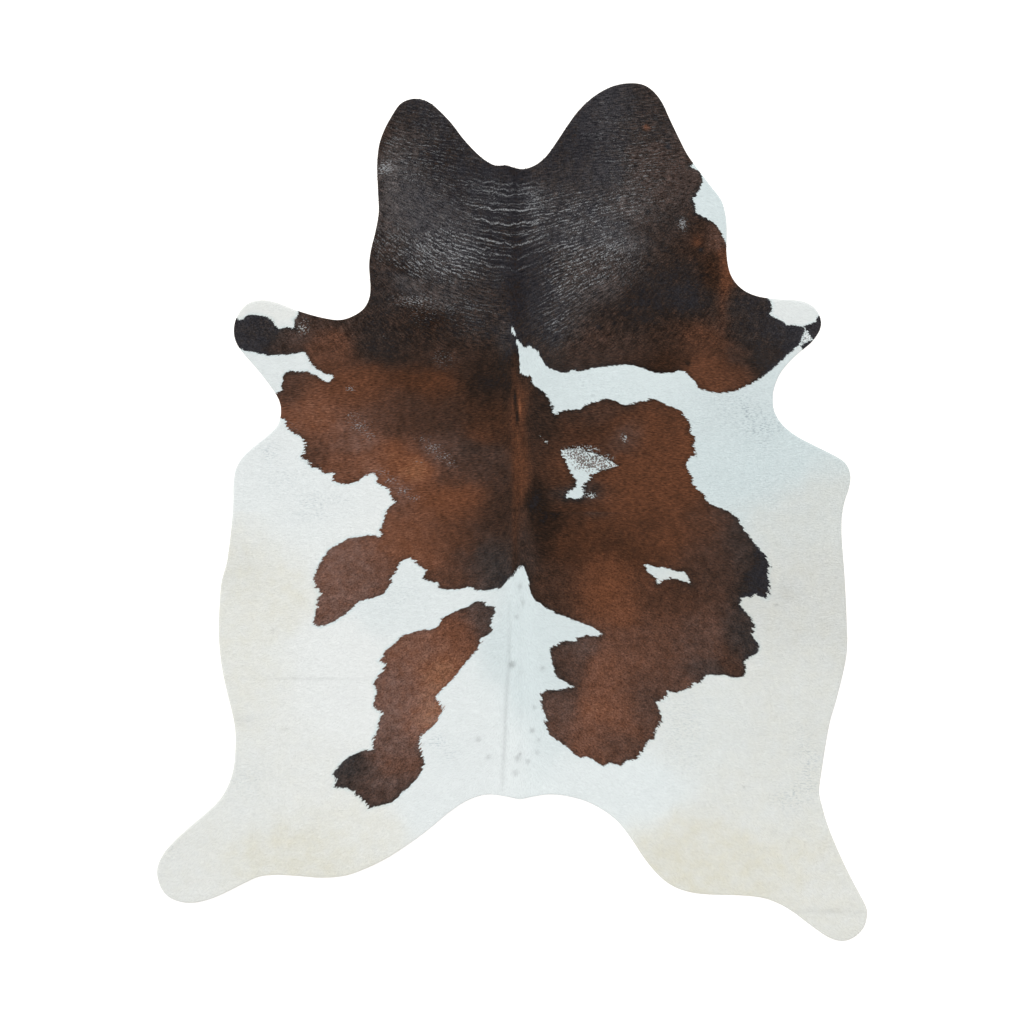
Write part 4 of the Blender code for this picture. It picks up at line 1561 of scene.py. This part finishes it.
def coat_tree():
    """Geometry Nodes that scatter locks over the ground between two places across the hide."""
    tree = bpy.data.node_groups.new("Lay the coat", "GeometryNodeTree")
    for name, kind in (
        ("Ground", "NodeSocketGeometry"), ("Lock", "NodeSocketObject"),
        ("Length", "NodeSocketFloat"), ("From", "NodeSocketFloat"), ("To", "NodeSocketFloat"),
        ("Density", "NodeSocketFloat"), ("Seed", "NodeSocketInt"),
        ("Stray", "NodeSocketFloat"), ("Material", "NodeSocketMaterial"),
    ):
        tree.interface.new_socket(name, in_out="INPUT", socket_type=kind)
    tree.interface.new_socket("Coat", in_out="OUTPUT", socket_type="NodeSocketGeometry")
    graph = Graph(tree)
    given = graph.node("NodeGroupInput", output=None)

    def read(name):
        return Socket(graph, given.outputs[name])

    def chance(span, seed):
        node = graph.node(
            "FunctionNodeRandomValue", {"data_type": "FLOAT"}, {"Seed": seed}, output=None
        )
        node.inputs[2].default_value, node.inputs[3].default_value = span
        return Socket(graph, node.outputs[1])

    def field(name, kind="FLOAT"):
        return graph.node("GeometryNodeInputNamedAttribute", {"data_type": kind}, {"Name": name})

    place = graph.node("GeometryNodeInputPosition")
    x, y, _ = graph.split(place)
    in_strip = (x > read("From")) * (x < read("To"))
    scatter = graph.node(
        "GeometryNodeDistributePointsOnFaces",
        {"distribute_method": "RANDOM"},
        {"Mesh": read("Ground"), "Selection": in_strip, "Density": read("Density"),
         "Seed": read("Seed")},
        output=None,
    )
    points, normal = (Socket(graph, scatter.outputs[name]) for name in ("Points", "Normal"))
    way = field("hair_way", "FLOAT_VECTOR")

    # The colour at a patch's edge is carried down the hair in pointed teeth.
    out, strand = abs(x - SPINE_X), field("strand")
    clumps = graph.noise(graph.join(strand * TOOTH_ACROSS, out * TOOTH_ALONG))
    peak = graph.clamped("SUBTRACT", 1.0, TOOTH_POINT * abs(clumps))
    short_teeth = y > SHOULDERS
    lowest = TOOTH_FROM + (SHORT_FROM - TOOTH_FROM) * short_teeth
    highest = TOOTH_TO + (SHORT_TO - TOOTH_TO) * short_teeth
    slip = lowest + (highest - lowest) * peak + chance((-TOOTH_SLIP, TOOTH_SLIP), 7)
    ragged = RAGGED * graph.noise(place, RAGS)

    def depth_up(distance):
        """The depth in the brown coat at a distance up the hair from the lock's place."""
        offset = graph.scaled(way, distance)
        origin = graph.node(
            "ShaderNodeVectorMath", {"operation": "SUBTRACT"}, {0: place, 1: offset}
        )
        depth = graph.node(
            "GeometryNodeSampleNearestSurface", {"data_type": "FLOAT"},
            {"Mesh": read("Ground"), "Value": field("brown_depth"), "Sample Position": origin},
        )
        return depth + ragged

    half = 0.5 * read("Length")
    turn = graph.node(
        "FunctionNodeAxesToRotation",
        {"primary_axis": "Z", "secondary_axis": "Y"},
        {"Primary Axis": normal, "Secondary Axis": way},
    )
    swirl = sum(reach * graph.noise(place, waves) for reach, waves in SWIRLS)
    stray = graph.join(
        read("Stray") * chance(STANDING, 1),
        read("Stray") * chance(ROLLING, 2),
        read("Stray") * chance(TURNING, 3) + swirl,
    )
    stray = graph.node("FunctionNodeEulerToRotation", {}, {0: stray})
    turn = graph.node(
        "FunctionNodeRotateRotation", {"rotation_space": "LOCAL"}, {0: turn, 1: stray}
    )
    held = {
        "root_depth": depth_up(slip + ROOT_SHARE * half),
        "tip_depth": depth_up(slip - TIP_SHARE * half),
        "lock_random": chance((0.0, 1.0), 4),
    }
    for name, value in held.items():
        points = graph.node(
            "GeometryNodeStoreNamedAttribute",
            {"data_type": "FLOAT", "domain": "POINT"},
            {"Geometry": points, "Name": name, "Value": value},
        )
    lock = graph.node(
        "GeometryNodeObjectInfo", {}, {"Object": read("Lock")}, output="Geometry"
    )
    short = graph.node(
        "ShaderNodeMapRange", {},
        {"Value": field("edge_gap"), "From Min": 0.0, "From Max": SHORT_RIM,
         "To Min": SHORT_LENGTH, "To Max": 1.0},
    )
    size_of = graph.join(chance(WIDTHS, 5), short * chance(LENGTHS, 6), 1.0)
    laid = graph.node(
        "GeometryNodeInstanceOnPoints", {},
        {"Points": points, "Instance": lock, "Rotation": turn, "Scale": size_of},
    )
    real = graph.node("GeometryNodeRealizeInstances", {}, {"Geometry": laid})
    dressed = graph.node(
        "GeometryNodeSetMaterial", {}, {"Geometry": real, "Material": read("Material")}
    )
    graph.node("NodeGroupOutput", {}, {"Coat": dressed}, output=None)
    return tree


def flat_map(mesh):
    """Gives a strip a UV map as seen from above, because its locks lie flat side by side."""
    corners = np.empty(len(mesh.loops), dtype=np.int32)
    mesh.loops.foreach_get("vertex_index", corners)
    places = np.empty(3 * len(mesh.vertices), dtype=np.float32)
    mesh.vertices.foreach_get("co", places)
    flat = places.reshape(-1, 3)[:, :2]
    flat = (flat - flat.min(axis=0)) / np.ptp(flat, axis=0)
    layer = mesh.uv_layers.new(name=BAKE_MAP)
    layer.uv.foreach_set("vector", flat[corners].ravel())


def strip_cuts(ground):
    """Where the coat is cut from left to right, so that each strip covers as much hide."""
    middles = np.array([face.center.x for face in ground.data.polygons])
    cuts = np.quantile(middles, np.arange(len(STRIPS) + 1) / len(STRIPS))
    cuts[0], cuts[-1] = HIDE_LOW.x, HIDE_HIGH.x
    return cuts.tolist()


def set_inputs(layer, values):
    """Sets inputs of a Geometry Nodes modifier by their names."""
    sockets = {
        socket.name: socket.identifier
        for socket in layer.node_group.interface.items_tree if socket.in_out == "INPUT"
    }
    for name, value in values.items():
        layer[sockets[name]] = value


def laid_strip(context, ground, name):
    """The strip that the ground's modifier lays with its present inputs, as a plain mesh."""
    ground.update_tag()
    context.view_layer.update()
    ready = ground.evaluated_get(context.evaluated_depsgraph_get())
    mesh = bpy.data.meshes.new_from_object(ready)
    mesh.name = name
    flat_map(mesh)
    return link(name, mesh)


class OBJECT_OT_hide_coat(bpy.types.Operator):
    """Lay the coat in four strips of locks over the undercoat"""

    bl_idname = "cowhide.coat"
    bl_label = "Coat of lying hair"

    def execute(self, context):
        leather, coat = context.scene.cowhide_leather, context.scene.cowhide_coat
        ground, hide = bpy.data.objects["ground"], bpy.data.objects["hide_leather"]
        area = len(ground.data.polygons) * leather.ground_step**2
        lock, cuts = lock_object(coat), strip_cuts(ground)
        layer = ground.modifiers.new("Coat", "NODES")
        layer.node_group = coat_tree()
        set_inputs(layer, {
            "Lock": lock, "Length": coat.length, "Density": coat.locks / area, "Stray": STRAY,
            "Material": hair_material(coat),
        })
        for seed, name in enumerate(STRIPS):
            set_inputs(layer, {"From": cuts[seed], "To": cuts[seed + 1], "Seed": seed})
            piece = laid_strip(context, ground, "coat_" + name)
            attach(piece, "root")
        bpy.data.objects.remove(ground)
        bpy.data.objects.remove(lock)
        flat_area = -signed_area(cut_edge(leather.rim_step))
        return {"FINISHED"}


# ---------------------------------------------------------------------------------------------
# The stage

CAMERA_HEIGHT, FAR_CLIP = 9.0, 200.0
VIEW_WIDTH = 2.56  # of the floor that the picture shows
FLOOR_REACH, FLOOR_LEVEL = 60.0, -0.3 * MM
FLOOR_SHADE, FLOOR_GLOW = 0.93, 0.35
SKY_STRENGTH, LAMP_STRENGTH = 0.80, 1.3
LAMP_SPREAD, LAMP_TILT = np.radians(25), np.radians((-38, -18, 0))


def floor_object():
    """A wide pale floor just under the hide. It shines a little, so hardly a shadow shows."""
    mesh = bpy.data.meshes.new("floor")
    corners = ((-1, -1), (1, -1), (1, 1), (-1, 1))
    mesh.from_pydata(
        [(x * FLOOR_REACH, y * FLOOR_REACH, FLOOR_LEVEL) for x, y in corners], [], [(0, 1, 2, 3)]
    )
    material, _, shader = new_material("pale_floor")
    shader.inputs["Base Color"].default_value = rgba((FLOOR_SHADE,) * 3)
    shader.inputs["Roughness"].default_value = 0.9
    shader.inputs["Specular IOR Level"].default_value = 0.1
    shader.inputs["Emission Color"].default_value = (1, 1, 1, 1)
    shader.inputs["Emission Strength"].default_value = FLOOR_GLOW
    mesh.materials.append(material)
    return link("floor", mesh)


def soft_light(scene):
    """An even white sky, and one wide soft lamp from beyond the neck."""
    world = bpy.data.worlds.new("studio")
    world.use_nodes = True
    background = world.node_tree.nodes["Background"]
    background.inputs["Color"].default_value = (1, 1, 1, 1)
    background.inputs["Strength"].default_value = SKY_STRENGTH
    scene.world = world

    lamp = bpy.data.lights.new("softbox", "SUN")
    lamp.energy = LAMP_STRENGTH
    lamp.angle = LAMP_SPREAD
    link("softbox", lamp).rotation_euler = LAMP_TILT


def camera_above(scene):
    """A camera over the middle of the hide, looking straight down, with the neck at the top."""
    lens = bpy.data.cameras.new("camera")
    lens.sensor_fit = "HORIZONTAL"
    lens.angle = 2 * np.arctan(VIEW_WIDTH / 2 / CAMERA_HEIGHT)
    lens.clip_end = FAR_CLIP
    camera = link("camera", lens)
    camera.location = (0, 0, CAMERA_HEIGHT)
    scene.camera = camera
    scene.view_settings.view_transform = "Standard"


class SCENE_OT_hide_stage(bpy.types.Operator):
    """Make the floor, the lights and the camera"""

    bl_idname = "cowhide.stage"
    bl_label = "Floor, lights and camera"

    def execute(self, context):
        floor_object()
        soft_light(context.scene)
        camera_above(context.scene)
        return {"FINISHED"}


class VIEW3D_PT_cowhide(bpy.types.Panel):
    """The sizes and colours of the hide, and its steps"""

    bl_label = "Cowhide rug"
    bl_category = "Cowhide"
    bl_space_type = "VIEW_3D"
    bl_region_type = "UI"

    def draw(self, context):
        for group in (context.scene.cowhide_leather, context.scene.cowhide_coat):
            box = self.layout.box()
            for name in group.__annotations__:
                box.prop(group, name)
        for step in STEPS:
            self.layout.operator(step.bl_idname)


STEPS = (SCENE_OT_hide_stage, OBJECT_OT_hide_leather, OBJECT_OT_hide_coat)
CLASSES = (CowhideLeather, CowhideCoat, *STEPS, VIEW3D_PT_cowhide)


def register():
    for kind in CLASSES:
        bpy.utils.register_class(kind)
    bpy.types.Scene.cowhide_leather = PointerProperty(type=CowhideLeather)
    bpy.types.Scene.cowhide_coat = PointerProperty(type=CowhideCoat)


def unregister():
    del bpy.types.Scene.cowhide_leather
    del bpy.types.Scene.cowhide_coat
    for kind in reversed(CLASSES):
        bpy.utils.unregister_class(kind)


def main():
    register()
    for step in (bpy.ops.cowhide.stage, bpy.ops.cowhide.leather, bpy.ops.cowhide.coat):
        step()


if __name__ == "__main__":
    main()
